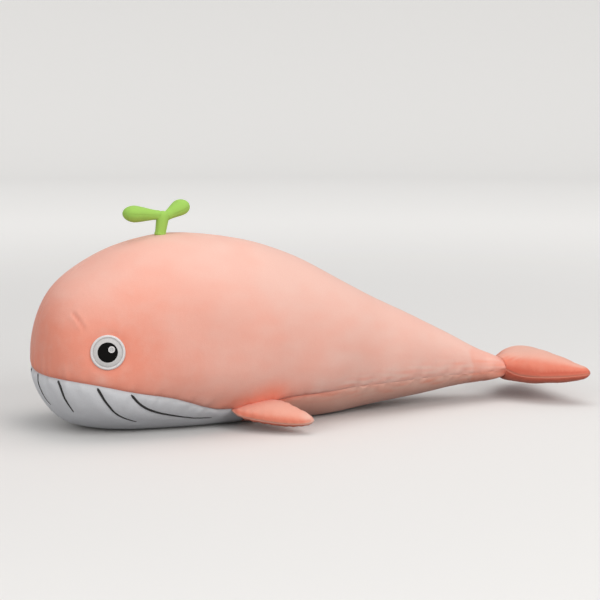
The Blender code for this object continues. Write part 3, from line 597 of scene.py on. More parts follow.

# %% [markdown]
# ## The eye's place, the pile's lean and its painted light
#
# The eye's place is known from the side only, as a distance from the snout and a height. A dozen
# steps of Newton's method find the point of the surface that lies there. It comes before the
# velvet, because the colour deepens round the eye, partly as flat pile and partly as painted
# shade, and the eye's stitches pull the velvet in.

# %% Find the eye
EYE_STEPS = 12
EYE_CENTRE = np.array((SNOUT_X + 0.0775, 0, 0.1225))
t_guess, a_guess = 4.0, math.pi / 2
for _ in range(EYE_STEPS):
    here = skin(t_guess, a_guess)
    slope_t = (skin(t_guess + 1e-3, a_guess) - here) / 1e-3
    slope_a = (skin(t_guess, a_guess + 1e-3) - here) / 1e-3
    miss = np.array((EYE_CENTRE[0] - here[0], EYE_CENTRE[2] - here[2]))
    slopes = np.array(((slope_t[0], slope_a[0]), (slope_t[2], slope_a[2])))
    step_t, step_a = np.linalg.solve(slopes, miss)
    t_guess, a_guess = t_guess + step_t, a_guess + step_a
EYE_CENTRE = skin(t_guess, a_guess)
EYE_OUT = skin_normal(t_guess, a_guess)
EYE_RADIUS = 0.0235
EYE_DIP = 1.6 * MM                   # how deep the eye's stitches pull the velvet in
print("eye at", EYE_CENTRE.round(4), "facing", EYE_OUT.round(3))

# %% Brush the pile, and paint its sheen and shade
PLAIN_LEAN = 0.30                    # the pile's lean before anything brushes it
TAIL_LEAN, TAIL_START = 0.45, (-0.33, 0.02)
# painted sheen: paler where the cloth faces up
BACK_SHEEN, FACING_UP = 0.35, (0.0, 0.9)
EYE_SHADE_LEAN, EYE_REACH = 0.45, 0.055    # deeper round the eyes, flat pile and painted shade, and how far
# painted bounce light and shade, with flat pile: deeper colour above the flippers
FLIPPER_BOUNCE, FLIPPER_REACH = 0.85, 0.024
# painted shade: less pale where the snout faces ahead
SNOUT_SHADE, FACING_AHEAD = 0.25, (0.3, 1.0)
WAIST_LEAN, WAIST_START = 0.40, (0.240, 0.249)
CLOUD_LEAN = 0.03
STREAK_LEAN, STREAK_START = 0.16, (-0.09, 0.03)      # fine streaks along the side seam
STREAK_PLACE, STREAK_REACH = 0.008, 0.014
ABOVE_FLIPPER = np.array(((-0.152, -0.106, 0.030), (-0.118, -0.106, 0.040), (-0.092, -0.104, 0.048)))
CREASE = np.array((
    (-0.3706, -0.0778, 0.1721), (-0.3651, -0.0901, 0.1633),
    (-0.3604, -0.0993, 0.1535), (-0.3602, -0.1047, 0.1439),
))
PALE_SPOTS = (
    # place, size, how much paler
    ((-0.3409, -0.1209, 0.0863), 0.009, 0.45), ((-0.0270, -0.1080, 0.0588), 0.013, 0.30),
)


def pile_and_painted_light(points, out):
    """How pale the velvet is, from 0 to 1: paler towards the tail, with painted sheen where it faces
    up, and deeper round the eyes and above the flippers, partly as flat pile and partly as painted
    shade and painted bounce light, and as painted shade where the snout faces ahead."""
    lean = PLAIN_LEAN + TAIL_LEAN * soft_step(points[..., 0], *TAIL_START)
    # painted sheen where the cloth faces up
    lean = lean + BACK_SHEEN * soft_step(out[..., 2], *FACING_UP)
    left = to_left(points)
    # deeper round the eyes: flat pile and painted shade
    lean = lean - EYE_SHADE_LEAN * np.exp(-(np.linalg.norm(left - EYE_CENTRE, axis=-1) / EYE_REACH) ** 2)
    # deeper above the flippers: flat pile, painted bounce light and shade
    lean = lean - FLIPPER_BOUNCE * np.exp(-(along_curve(left, ABOVE_FLIPPER)[0] / FLIPPER_REACH) ** 2)
    # painted shade where the snout faces ahead
    lean = lean - SNOUT_SHADE * soft_step(-out[..., 0], *FACING_AHEAD)
    border = points[..., 0] + 0.003 * ripples(points, 0.03, 62)
    lean = lean - WAIST_LEAN * soft_step(border, *WAIST_START)
    lean = lean + CLOUD_LEAN * ripples(points * (1.0, 0.5, 2.2), 0.05, 60)
    seam, _ = along_curve(left, SIDE_SEAM[::6])
    beside = np.exp(-((seam - STREAK_PLACE) / STREAK_REACH) ** 2)
    streaks = ripples(points * (0.12, 1.0, 1.0), 0.008, 64) * beside
    lean = lean + STREAK_LEAN * streaks * soft_step(points[..., 0], *STREAK_START)
    for centre, size, share in PALE_SPOTS:
        lean = lean + share * np.exp(-(np.linalg.norm(points - centre, axis=-1) / size) ** 2)
    return np.clip(lean, 0, 1)


print(len(PALE_SPOTS), "pale spots")

# %% Lines of the throat stripes
STRIPE_SHARES = {
    # along share of the body, girth share from the seam at 0 to the middle of the belly at 1
    "chin": ((0.0019, 0.03), (0.0034, 0.41), (0.0066, 0.61), (0.0147, 0.717), (0.0259, 0.714)),
    "front": ((0.0235, 0.02), (0.032, 0.21), (0.040, 0.334), (0.056, 0.47)),
    "middle": ((0.089, 0.02), (0.103, 0.135), (0.115, 0.21), (0.134, 0.30), (0.172, 0.39)),
    "rear": ((0.151, 0.02), (0.176, 0.137), (0.2155, 0.228), (0.265, 0.247), (0.321, 0.19)),
}
GROOVE = 0.9 * MM                    # how deep a stripe's stitches pull the belly in
GROOVE_REACH = 4.0 * MM
GROOVE_CLEAR = 0.005                 # it fades out beside the side seam
GROOVE_FADE, GROOVE_LEAST = 0.12, 0.2                # and along the stripe, down to this share
PUFF, PUFF_PLACE, PUFF_REACH = 0.7, 0.014, 0.008     # how the belly puffs up beside it
THROAT_TOP, THROAT_END = 0.11, -0.10
along_t = np.linspace(0, LAST_SECTION, 1400)
along_x = section(along_t)[0]


def smooth_chain(rows, count):
    """A smooth curve through a few points."""
    rows = np.array(rows, float)
    bends = even_spline(rows)
    t = np.linspace(0, len(rows) - 1, count)
    i = np.clip(t.astype(int), 0, len(rows) - 2)
    f = (t - i)[:, None]
    g = 1 - f
    return g * rows[i] + f * rows[i + 1] + ((g ** 3 - g) * bends[i] + (f ** 3 - f) * bends[i + 1]) / 6


def stripe_line(shares, count=60):
    """A stripe's section numbers and angles."""
    line = smooth_chain(shares, count)
    t = np.interp(line[:, 0] * BODY_LENGTH, along_x, along_t)
    seam = seam_angle(t)
    return t, seam + line[:, 1] * (math.pi - seam)


STRIPE_LINES = [chain(*stripe_line(shares, 24)) for shares in STRIPE_SHARES.values()]


def groove_height(points):
    """The belly dips at each stripe and puffs up a little beside it."""
    left = to_left(points.reshape(-1, 3))
    height = np.zeros(len(left))
    low = np.flatnonzero((left[:, 2] < THROAT_TOP) & (left[:, 0] < THROAT_END))
    seam, _ = along_curve(left[low], SIDE_SEAM[::3])
    free = 1 - np.exp(-(seam / GROOVE_CLEAR) ** 2)
    for line in STRIPE_LINES:
        distance, place = along_curve(left[low], line)
        fade = free * np.clip(1 - place / GROOVE_FADE, GROOVE_LEAST, 1)
        height[low] -= GROOVE * fade * np.exp(-(distance / GROOVE_REACH) ** 2)
        height[low] += PUFF * GROOVE * fade * np.exp(-((distance - PUFF_PLACE) / PUFF_REACH) ** 2)
    return height.reshape(points.shape[:-1])


print(len(STRIPE_LINES), "stripe lines on each side")

# %% Height of the velvet above the smooth surface
LUMP = 0.9 * MM
LUMP_WAVE = 0.11
CREASE_LENGTH = 0.038
CREASE_ENDS = (0.005, 0.012)         # over what lengths it fades at its two ends
CREASE_DEPTH, CREASE_WIDTH = 1.9 * MM, 0.0020
# painted shade in that crease, and how wide it is
CREASE_SHADE, CREASE_SHADE_WIDTH = 0.5, 0.0018
CREASE_LIP, LIP_PLACE, LIP_WIDTH = 0.7 * MM, 0.005, 0.0028   # how the velvet puffs up beside it
EYE_DIP_WIDTH = 0.006
EYE_SHADE, EYE_SHADE_REACH = 0.20, 0.005                 # painted shade in the groove beside the eye, and how far it reaches
FLOOR_NEAR = 0.012                   # below this height the floor presses the cloth smooth
FLOOR_RELIEF = 0.15                  # the share of the relief that is left on the floor


def velvet_at(t, angle):
    """Points of the dressed velvet, their directions, and the numbers for painted crease shade and for
    paleness with its painted sheen.
    """
    points, out = skin(t, angle), skin_normal(t, angle)
    pull, nap_shade = seam_pull(points)
    height = LUMP * ripples(points, LUMP_WAVE, 3) - pull
    if np.max(t) <= CROSS_SEAM:
        height = height + groove_height(points)
    for side in (1.0, MIRROR):
        away = np.linalg.norm(points - EYE_CENTRE * side, axis=-1)
        ring = np.exp(-((away - EYE_RADIUS) / EYE_DIP_WIDTH) ** 2)
        height -= EYE_DIP * ring
        # painted shade in the groove round the eye
        nap_shade = np.maximum(nap_shade, EYE_SHADE * np.exp(-np.maximum(away - EYE_RADIUS, 0) / EYE_SHADE_REACH))
    distance, place = along_curve(points, CREASE)
    fold = np.clip(place / CREASE_ENDS[0], 0, 1) * np.clip((CREASE_LENGTH - place) / CREASE_ENDS[1], 0, 1)
    height -= CREASE_DEPTH * fold * np.exp(-(distance / CREASE_WIDTH) ** 2)
    height += CREASE_LIP * fold * np.exp(-((distance - LIP_PLACE) / LIP_WIDTH) ** 2)
    # painted shade in the crease above the eye
    nap_shade = np.maximum(nap_shade, CREASE_SHADE * fold * np.exp(-(distance / CREASE_SHADE_WIDTH) ** 2))
    near_floor = np.clip(points[..., 2] / FLOOR_NEAR, 0, 1)
    lean = pile_and_painted_light(points, out)
    relief = height * (FLOOR_RELIEF + (1 - FLOOR_RELIEF) * near_floor)
    points = points + out * relief[..., None]
    points[..., 2] = np.maximum(points[..., 2], 0)
    return points, out, nap_shade, lean


print("velvet at the eye:", velvet_at(np.array([t_guess]), np.array([a_guess]))[0][0].round(4))

# %% [markdown]
# ## Panels
#
# Every panel is a closed sheet, as thick as the cloth with its pile, so that it is a thing that
# could be cut and sewn. The outer points come from the dressed surface; the inner ones lie the
# cloth's thickness below; strips join the two along the edges. Rows lie closer together beside
# the seams, where the shape changes fast.

# %% Helpers for nets
def point_normals(points, faces):
    """Directions of a net of triangles or quads at its points."""
    found = np.zeros_like(points)
    for corners in (faces[:, :3], faces[:, [0, 2, 3]]) if faces.shape[1] == 4 else (faces,):
        a, b, c = (points[corners[:, k]] for k in range(3))
        turn = np.cross(b - a, c - a)
        for k in range(3):
            np.add.at(found, corners[:, k], turn)
    return unit(found)


def border_edges(faces):
    """Edges that one face alone has, in that face's direction."""
    seen = {}
    for face in faces:
        corners = list(dict.fromkeys(int(k) for k in face))
        for a, b in zip(corners, corners[1:] + corners[:1]):
            if (b, a) in seen:
                seen[(b, a)] = False
            else:
                seen[(a, b)] = True
    return [edge for edge, single in seen.items() if single]


def number_points(mesh, name, values):
    """Store one number per point, for the shader."""
    stored = mesh.attributes.new(name, "FLOAT", "POINT")
    stored.data.foreach_set("value", np.asarray(values, np.float32))


def add_mesh(name, points, faces, material):
    """A smooth piece from its points and faces."""
    mesh = bpy.data.meshes.new(name)
    mesh.from_pydata(points.tolist(), [], faces)
    mesh.materials.append(material)
    mesh.shade_smooth()
    piece = bpy.data.objects.new(name, mesh)
    bpy.context.collection.objects.link(piece)
    return piece


print("a single square has", len(border_edges([[0, 1, 2, 3]])), "border edges")

# %% Sew a panel
CLOTH = 1.6 * MM


def sew(name, points, faces, body, material, nap_shade=None, lean=None, thickness=CLOTH, out=None):
    """A closed sheet from its outer net. Faces turn anticlockwise as seen from outside."""
    normals = point_normals(points, faces) if out is None else out
    inner = points - normals * thickness
    inner[:, 2] = np.maximum(inner[:, 2], points[:, 2].min())
    count = len(points)
    made = [list(dict.fromkeys(map(int, face))) for face in faces]
    made = [face for face in made if len(face) > 2]
    net = made + [[k + count for k in reversed(face)] for face in made]
    net += [[b, a, a + count, b + count] for a, b in border_edges(made)]
    piece = add_mesh(name, np.vstack((points, inner)), net, material)
    for number, values, plain in (("nap_shade", nap_shade, 0.0), ("lean", lean, 0.5)):
        values = np.full(count, plain) if values is None else values
        number_points(piece.data, number, np.tile(values, 2))
    if body:
        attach(piece, body)
    return piece


def grid_net(rows, columns):
    """Quads of a grid of points that is stored row by row."""
    k = np.arange(rows * columns).reshape(rows, columns)
    return np.stack((k[:-1, :-1], k[1:, :-1], k[1:, 1:], k[:-1, 1:]), -1).reshape(-1, 4)


def denser(count, start=0.0, end=0.0):
    """Shares from 0 to 1 whose steps shrink by start and end at those ends."""
    s = np.linspace(0, 1, count)
    steps = 1 - start * np.exp(-s / 0.12) - end * np.exp(-(1 - s) / 0.12)
    run = np.concatenate(([0], np.cumsum((steps[1:] + steps[:-1]) / 2)))
    return run / run[-1]


def even_sections(first, last, count, start=0.0, end=0.0):
    """Section numbers that lie evenly along the body's widest line."""
    t = np.linspace(first, last, 900)
    run = run_along(skin(t, math.pi / 2))
    return np.interp(denser(count, start, end) * run[-1], run, t)


print("cloth is", CLOTH / MM, "mm thick")

# %% Cut the body's panels
ROWS_LONG = 320
COLUMNS_UPPER, COLUMNS_BELLY, COLUMNS_REAR = 110, 150, 90
BEND_START, BEND_END = (0.275, 0.0, 0.048), (0.335, 0.0, 0.048)


def body_panel(name, t, shares, low, high, material, turned=False):
    """A panel between two angles that change with t. turned says that the angle runs down."""
    grid_t = np.broadcast_to(t[:, None], (len(t), len(shares)))
    angle = low(grid_t) + (high(grid_t) - low(grid_t)) * shares
    points, out, nap_shade, lean = velvet_at(grid_t, angle)
    net = grid_net(*grid_t.shape)
    points, out = points.reshape(-1, 3), out.reshape(-1, 3)
    if t[0] == 0:                    # the first row closes to the snout's pole
        merged = np.arange(len(points))
        merged[:len(shares)] = 0
        net = merged[net]
    if not turned:
        net = net[:, ::-1]
    nap_shade, lean = nap_shade.reshape(-1), lean.reshape(-1)
    piece = sew(f"{name}_velvet", points, net, None, material, nap_shade, lean, out=out)
    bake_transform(piece)
    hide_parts(name)
    return piece


def zero(t):
    """The spine's angle."""
    return 0 * t


def full_turn(t):
    """The spine's angle once more, after a full turn."""
    return 0 * t + 2 * math.pi


def other_seam(t):
    """The side seam's angle on the right."""
    return 2 * math.pi - seam_angle(t)


long_t = even_sections(0, LAST_SECTION, ROWS_LONG, 0.5, 0.6)
belly_t = np.append(long_t[long_t < CROSS_SEAM - 0.01], CROSS_SEAM - 0.004)
rear_t = np.insert(long_t[long_t > CROSS_SEAM + 0.01], 0, CROSS_SEAM + 0.004)
upper_shares = denser(COLUMNS_UPPER, 0.4, 0.7)
lower_shares = denser(COLUMNS_BELLY, 0.6, 0.6)
rear_shares = denser(COLUMNS_REAR, 0.6, 0.6)
PANELS = {
    "upper_panel_left": body_panel("upper_panel_left", long_t, upper_shares, zero, seam_angle,
                                   PINK_VELVET),
    "upper_panel_right": body_panel("upper_panel_right", long_t, upper_shares, full_turn, other_seam,
                                    PINK_VELVET, turned=True),
    "belly_panel": body_panel("belly_panel", belly_t, lower_shares, seam_angle, other_seam,
                              WHITE_VELVET),
    "underside_panel": body_panel("underside_panel", rear_t, rear_shares, seam_angle, other_seam,
                                  SALMON_VELVET),
}
print({name: len(piece.data.vertices) for name, piece in PANELS.items()}, "points")

# %% [markdown]
# ## Filling
#
# Polyester fibre fills every stuffed piece. Nobody sees it, but the panels lie on it, so each
# filling is a lumpy closed body of its own, a little below the cloth.

# %% Body filling
def fibre_material():
    """Loose white fibre: pale, dull and cloudy."""
    made, tree, shader, place = new_material("fibre filling", 0.1)
    clouds = noise_in(tree, place, 160.0, 6.0)
    fibres = noise_in(tree, place, 700.0, 3.0, (1.0, 0.3, 1.0))
    colour = blend_colour(tree, spread(tree, clouds, 0.3, 0.7), (0.62, 0.62, 0.60), (0.80, 0.80, 0.79))
    rough = spread(tree, fibres, 0.3, 0.7, 0.85, 1.0)
    dress(tree, shader, colour, rough, bump(tree, fibres, 1.0 * MM, 0.6))
    return made


FIBRE = fibre_material()
FILL_DEPTH, FILL_MOST = 9 * MM, 0.35                 # below the cloth, and as a share of the half width
FILL_NET = (90, 64)                  # rows along the body, points round each
FILL_CUT = (0.35, 0.25)              # sections left empty at the snout and at the waist
FILL_LUMPS = 0.12
FILL_SOLE = 4 * MM                   # how high its underside lies


def closed_piece(name, points, faces, body, material):
    """A closed body from a net that has no border."""
    made = [list(dict.fromkeys(map(int, face))) for face in faces]
    piece = add_mesh(name, points, [face for face in made if len(face) > 2], material)
    number_points(piece.data, "lean", np.full(len(points), 0.5))
    if body:
        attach(piece, body)
    return piece


def tube_net(rings, around):
    """Quads of a tube of closed rings, with a point at each end after the rings."""
    k = np.arange(rings * around).reshape(rings, around)
    after = np.roll(k, -1, axis=1)
    quads = np.stack((k[:-1], after[:-1], after[1:], k[1:]), -1).reshape(-1, 4)
    start, end = rings * around, rings * around + 1
    first = np.stack((after[0], k[0], k[0] * 0 + start, after[0]), -1)
    last = np.stack((k[-1], after[-1], k[-1] * 0 + end, k[-1]), -1)
    return np.vstack((quads, first, last))


def body_filling():
    """The body's smooth surface once more, a little smaller and lumpy."""
    rows, around = FILL_NET
    t = even_sections(FILL_CUT[0], LAST_SECTION - FILL_CUT[1], rows)
    t = np.broadcast_to(t[:, None], (rows, around))
    angle = np.broadcast_to(np.linspace(0, 2 * math.pi, around, endpoint=False), (rows, around))
    points, out = skin(t, angle), skin_normal(t, angle)
    slack = np.minimum(FILL_DEPTH, FILL_MOST * section(t)[3])
    points = points - out * (slack * (1 + FILL_LUMPS * ripples(points, 0.03, 50)))[..., None]
    points[..., 2] = np.maximum(points[..., 2], FILL_SOLE)
    ends = points[0].mean(0), points[-1].mean(0)
    points = np.vstack((points.reshape(-1, 3), ends))
    piece = closed_piece("body_filling", points, tube_net(rows, around), "body", FIBRE)
    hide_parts("body_stuffing")
    return piece


body_fibre = body_filling()
print("body filling:", len(body_fibre.data.vertices), "points")

# %% [markdown]
# ## Eyes
#
# Each eye is a round patch of off-white felt. A raised ring of white satin stitch holds its edge
# and pulls a shallow groove into the velvet. On it lie a black felt pupil and a pale grey glint
# with a white rim. Satin stitch is a row of thread laid side by side, so each stitched ring is a
# low dome with one small ridge per thread. All are set on the velvet by dropping them along the
# eye's own direction.

# %% Thread and felt
def thread_material(name, colour, deep, gloss=0.4, roughness=0.42):
    """Embroidery thread: it shines along its strands, which are real ridges in the mesh."""
    made, tree, shader, place = new_material(name, gloss)
    strands = noise_in(tree, place, 1500.0, 3.0)
    worn = noise_in(tree, place, 180.0, 3.0)
    shade = blend_colour(tree, spread(tree, strands, 0.35, 0.65), deep, colour)
    shade = blend_colour(tree, spread(tree, worn, 0.3, 0.7, 0.0, 0.3), shade, deep)
    rough = spread(tree, strands, 0.3, 0.7, roughness, roughness + 0.2)
    dress(tree, shader, shade, rough, bump(tree, strands, 0.15 * MM, 0.6))
    return made


def felt_material(name, colour, deep):
    """Felt: pressed fibres, dull and a little cloudy."""
    made, tree, shader, place = new_material(name, 0.15)
    fibres = noise_in(tree, place, 900.0, 5.0)
    clouds = noise_in(tree, place, 120.0, 3.0)
    shade = blend_colour(tree, spread(tree, fibres, 0.3, 0.7), deep, colour)
    shade = blend_colour(tree, spread(tree, clouds, 0.3, 0.7, 0.0, 0.35), shade, deep)
    rough = spread(tree, clouds, 0.3, 0.7, 0.85, 1.0)
    dress(tree, shader, shade, rough, bump(tree, fibres, 0.4 * MM, 0.7))
    return made


WHITE_THREAD = thread_material("white satin stitch", (0.88, 0.86, 0.85), (0.66, 0.64, 0.63))
BLACK_THREAD = thread_material("black satin stitch", (0.022, 0.021, 0.021), (0.006, 0.006, 0.006))
GLINT_THREAD = thread_material("glint satin stitch", (0.62, 0.62, 0.61), (0.40, 0.40, 0.40))
PUPIL_FELT = thread_material("black felt", (0.006, 0.0055, 0.005), (0.002, 0.002, 0.002), 0.12, 0.75)
EYE_FELT = felt_material("eye felt", (0.70, 0.68, 0.665), (0.58, 0.565, 0.555))
FINISHES = (WHITE_THREAD, BLACK_THREAD, GLINT_THREAD, PUPIL_FELT, EYE_FELT)
print("finishes:", [made.name for made in FINISHES])

# %% Find places on the velvet
SIDES = (("left", 1), ("right", -1))
FINDERS = {}


def velvet_tree(name):
    """A finder of places on a panel, made once."""
    if name not in FINDERS:
        mesh = PANELS[name].data
        half = len(mesh.vertices) // 2
        points = [v.co.copy() for v in mesh.vertices[:half]]
        faces = [tuple(p.vertices) for p in mesh.polygons if max(p.vertices) < half]
        FINDERS[name] = BVHTree.FromPolygons(points, faces)
    return FINDERS[name]


def eye_axes(side):
    """An eye's middle, and its directions outwards, up and ahead."""
    centre = EYE_CENTRE * (1, side, 1)
    out = EYE_OUT * (1, side, 1)
    up = unit(np.array((0, 0, 1.0)) - out * out[2])
    forward = unit(np.cross(up, out) * -side)
    if forward[0] > 0:
        forward = -forward
    return centre, out, up, forward


def on_velvet(panel, a, b, side):
    """The place on the velvet that lies a ahead of and b above the eye's middle."""
    centre, out, up, forward = eye_axes(side)
    start = centre + forward * a + up * b + out * 0.03
    hit = velvet_tree(panel).ray_cast(Vector(start), Vector(-out))[0]
    return np.array(hit if hit else centre + forward * a + up * b)


def outward_faces(piece):
    """Turn all faces of a closed piece outwards."""
    shape = bmesh.new()
    shape.from_mesh(piece.data)
    bmesh.ops.recalc_face_normals(shape, faces=shape.faces[:])
    shape.to_mesh(piece.data)
    shape.free()


print("the left eye sits at", on_velvet("upper_panel_left", 0, 0, 1).round(4))

# %% Stitch a ring
STRAND_POINTS = 4
RING_POINTS = 96
RING_HOLE = 0.3                      # a piece whose least radius is a larger share is an open ring


def stitched_ring(name, panel, side, middle, radii, heights, threads, slant, ridge, slot, material):
    """Rings of points round a middle. threads is how many strands lie round the ring, slant how
    far a strand leans, in turns, from the first radius to the last."""
    around = max(threads * STRAND_POINTS, RING_POINTS)
    turns = np.arange(around) / around
    _, out, _, _ = eye_axes(side)
    rings = []
    for k, (radius, height) in enumerate(zip(radii, heights)):
        strand = np.cos(2 * math.pi * threads * (turns + slant * k / max(len(radii) - 1, 1)))
        rise = height + ridge * strand * (0 < k < len(radii) - 1)
        ring = [on_velvet(panel, middle[0] + radius * math.cos(2 * math.pi * u),
                          middle[1] + radius * math.sin(2 * math.pi * u), side) for u in turns]
        rings.append(np.array(ring) + out * rise[:, None])
    points = np.vstack(rings)
    ends = rings[0].mean(0), rings[-1].mean(0)
    points = np.vstack((points, ends))
    net = tube_net(len(rings), around)
    if min(radii[0], radii[-1]) > RING_HOLE * max(radii):        # it closes on itself
        k = np.arange(len(rings) * around).reshape(len(rings), around)
        k = np.vstack((k, k[:1]))
        after = np.roll(k, -1, axis=1)
        net = np.stack((k[:-1], after[:-1], after[1:], k[1:]), -1).reshape(-1, 4)
        points = points[:-2]
    piece = closed_piece(name, points, net, "body", material)
    outward_faces(piece)
    return piece


print("at least", RING_POINTS, "points round a ring, and", STRAND_POINTS, "for each strand")

# %% Set the eyes
RIM_WIDTH = 3.8 * MM
PUPIL_RADIUS = 13.5 * MM
GLINT_RADIUS = 4.5 * MM
GLINT_PLACE = (-5.2 * MM, 3.8 * MM)
RIM_STRANDS = (150, 0.012, 0.10 * MM)                # how many, their slant, and their ridge
GLINT_STRANDS = (36, 0.05, 0.08 * MM)
NO_STRANDS = (0, 0.0, 0.0)


def dome(inner, outer, low, high, steps=7):
    """Radii and heights of a rounded strip, from its inner foot over the top to its outer."""
    turn = np.linspace(0, math.pi, steps)
    radii = (inner + outer) / 2 - np.cos(turn) * (outer - inner) / 2
    return radii, low + (high - low) * np.sin(turn) ** 0.6


def disc(radius, low, high, steps=6):
    """Radii and heights of a patch with a rounded edge, from its middle to its foot."""
    share = np.linspace(0.02, 1, steps)
    heights = high - (high - low) * share ** 9
    return np.concatenate((radius * share, (radius * 0.99,))), np.concatenate((heights, (low - 0.6 * MM,)))


for word, side in SIDES:
    panel = f"upper_panel_{word}"
    inside = EYE_RADIUS - RIM_WIDTH
    patch = stitched_ring(f"eye_ring_{word}", panel, side, (0, 0),
                          *disc(inside + 1.5 * MM, 0.0, 1.2 * MM), *NO_STRANDS, "eye felt", EYE_FELT)
    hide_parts(f"eye_patch_{word}")
    radii, heights = dome(inside, EYE_RADIUS, -0.8 * MM, 2.4 * MM)
    rim = stitched_ring(f"eye_rim_stitch_{word}", panel, side, (0, 0), radii, heights, *RIM_STRANDS,
                        "white satin stitch", WHITE_THREAD)
    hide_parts(f"eye_rim_{word}")
    pupil = stitched_ring(f"pupil_stitch_{word}", panel, side, (0, 0),
                          *disc(PUPIL_RADIUS, 1.1 * MM, 2.4 * MM, 10), *NO_STRANDS, "black felt", PUPIL_FELT)
    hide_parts(f"pupil_{word}")
    glint = stitched_ring(f"glint_stitch_{word}", panel, side, GLINT_PLACE,
                          *disc(GLINT_RADIUS - 0.6 * MM, 2.3 * MM, 2.9 * MM), *NO_STRANDS,
                          "white satin stitch", GLINT_THREAD)
    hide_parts(f"eye_glint_{word}")
    radii, heights = dome(GLINT_RADIUS - 1.7 * MM, GLINT_RADIUS, 2.2 * MM, 3.3 * MM)
    stitched_ring(f"glint_rim_stitch_{word}", panel, side, GLINT_PLACE, radii, heights, *GLINT_STRANDS,
                  "white satin stitch", WHITE_THREAD)
print("an eye is", round(2 * EYE_RADIUS / MM), "mm wide, its pupil", round(2 * PUPIL_RADIUS / MM), "mm")

# %% [markdown]
# ## Throat stripes
#
# The lines on the white throat are stitched in black satin stitch, thick where they start at
# the mouth and thin where they end. Each is a low round ridge that follows the velvet.

# %% Stitch the stripes
STRIPE_WIDTH = 3.4 * MM
STRIPE_HEIGHT = 1.2 * MM
THREAD = 1.1 * MM                    # from one strand to the next
THREAD_SLANT, THREAD_RIDGE = 0.9 * MM, 0.09 * MM
CHIN_SHARE, THIN_SHARE = 0.3, 0.5    # the chin stripe's width, and every stripe's thin end
STRIPE_TIP, TIP_LEAST = 0.03, 0.25   # how soon its two ends narrow, and to what
STRIPE_COLUMNS = 9
STRIPE_SINK = 0.5 * MM               # its edges lie this far below the velvet, its foot twice as far


def stitch_stripe(name, t, angle, side, thick, thin, node):
    """A ridge of thread along a line of the surface, from thick to thin."""
    run = run_along(skin(t, angle))
    steps = int(run[-1] / (THREAD / 4))
    s = np.linspace(0, run[-1], steps)
    t, angle = np.interp(s, run, t), np.interp(s, run, angle)
    flat, out = skin(t, angle), skin_normal(t, angle)
    heading = unit(np.gradient(flat, axis=0))
    across = unit(np.cross(heading, out))
    share = s / run[-1]
    ends = np.clip(np.minimum(share, 1 - share) / STRIPE_TIP, TIP_LEAST, 1) ** 0.5
    width = (thick + (thin - thick) * share ** 2) * ends
    columns = np.linspace(0, math.pi, STRIPE_COLUMNS)
    finder = velvet_tree("belly_panel")
    rings = []
    for k in range(steps):
        ring = []
        for turn in columns:
            place = flat[k] + across[k] * width[k] / 2 * -math.cos(turn)
            mirror = Vector((place[0], place[1] * side, place[2]))
            found = finder.find_nearest(mirror)
            lean = math.cos(2 * math.pi * (s[k] + THREAD_SLANT * math.cos(turn)) / THREAD)
            up = STRIPE_HEIGHT * width[k] / thick * math.sin(turn) ** 0.7
            up += THREAD_RIDGE * lean * math.sin(turn) - STRIPE_SINK * (turn in (columns[0], columns[-1]))
            ring.append(np.array(found[0]) + out[k] * (1, side, 1) * up)
        foot = (ring[0] + ring[-1]) / 2 - out[k] * (1, side, 1) * STRIPE_SINK
        rings.append(ring + [foot])
    points = np.array(rings).reshape(-1, 3)
    points = np.vstack((points, np.mean(rings[0], 0), np.mean(rings[-1], 0)))
    net = tube_net(steps, len(columns) + 1)
    piece = closed_piece(name, points, net, "body", BLACK_THREAD)
    outward_faces(piece)
    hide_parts(node)
    return piece


for place, shares in STRIPE_SHARES.items():
    thick = STRIPE_WIDTH * (CHIN_SHARE if place == "chin" else 1)
    for word, side in SIDES:
        stripe = stitch_stripe(f"stripe_{place}_{word}", *stripe_line(shares), side, thick,
                               THIN_SHARE * thick, f"throat_stripe_{place}_{word}")
        print(stripe.name, "has", len(stripe.data.vertices), "points")

# %% [markdown]
# ## Flippers and fluke
#
# A limb is two flat panels sewn round the edge, turned and stuffed. It swells in the middle and
# pinches to a crease at the edge. Its net is an even field of triangles inside the outline, used
# for both panels, so that they share their edge.

# %% Even nets inside an outline
def outline_curve(points, spacing):
    """Evenly spaced points of a smooth curve through a few."""
    fine = smooth_chain(points, 400)
    run = run_along(fine)
    s = np.linspace(0, run[-1], max(int(run[-1] / spacing), 2))
    return np.stack([np.interp(s, run, fine[:, k]) for k in range(2)], -1)


def flat_net(outline, spacing, rings):
    """Triangles that fill a closed outline evenly, inside the rings along its edge."""
    low, high = outline.min(0), outline.max(0)
    tall = spacing * math.sqrt(3) / 2
    field = [(x + (j % 2) * spacing / 2, y) for j, y in enumerate(np.arange(low[1], high[1], tall))
             for x in np.arange(low[0], high[0], spacing)]
    field = np.array(field)
    closed = np.vstack((outline, outline[:1]))
    distance, _ = along_curve(field, closed)
    a, b = closed[:-1], closed[1:]
    crossed = (a[:, 1] > field[:, 1:]) != (b[:, 1] > field[:, 1:])
    rise = np.where(a[:, 1] == b[:, 1], 1, b[:, 1] - a[:, 1])
    where = a[:, 0] + (field[:, 1:] - a[:, 1]) * (b[:, 0] - a[:, 0]) / rise
    inside = ((crossed & (field[:, :1] < where)).sum(1) % 2 == 1) & (distance > 0.75 * spacing)
    points = np.vstack((outline, rings, field[inside]))
    count = len(outline)
    edges = [(k, (k + 1) % count) for k in range(count)]
    found = delaunay_2d_cdt([Vector(p) for p in points], edges, [], 1, 1e-7)
    return np.array([tuple(p) for p in found[0]]), np.array([tuple(f) for f in found[2]])


square = np.array(((0, 0), (10, 0), (10, 10), (0, 10))) * MM
print("a 10 mm square takes", len(flat_net(square, 2 * MM, square[:0])[1]), "triangles")

# %% Swell a limb
EDGE_PINCH = 0.8 * MM               # this far from the edge 71 percent of the height is back
FULLNESS = 0.88                      # below 1 the limb is stuffed tighter towards its edge
EDGE_RINGS = (0.5 * MM, 1.5 * MM)


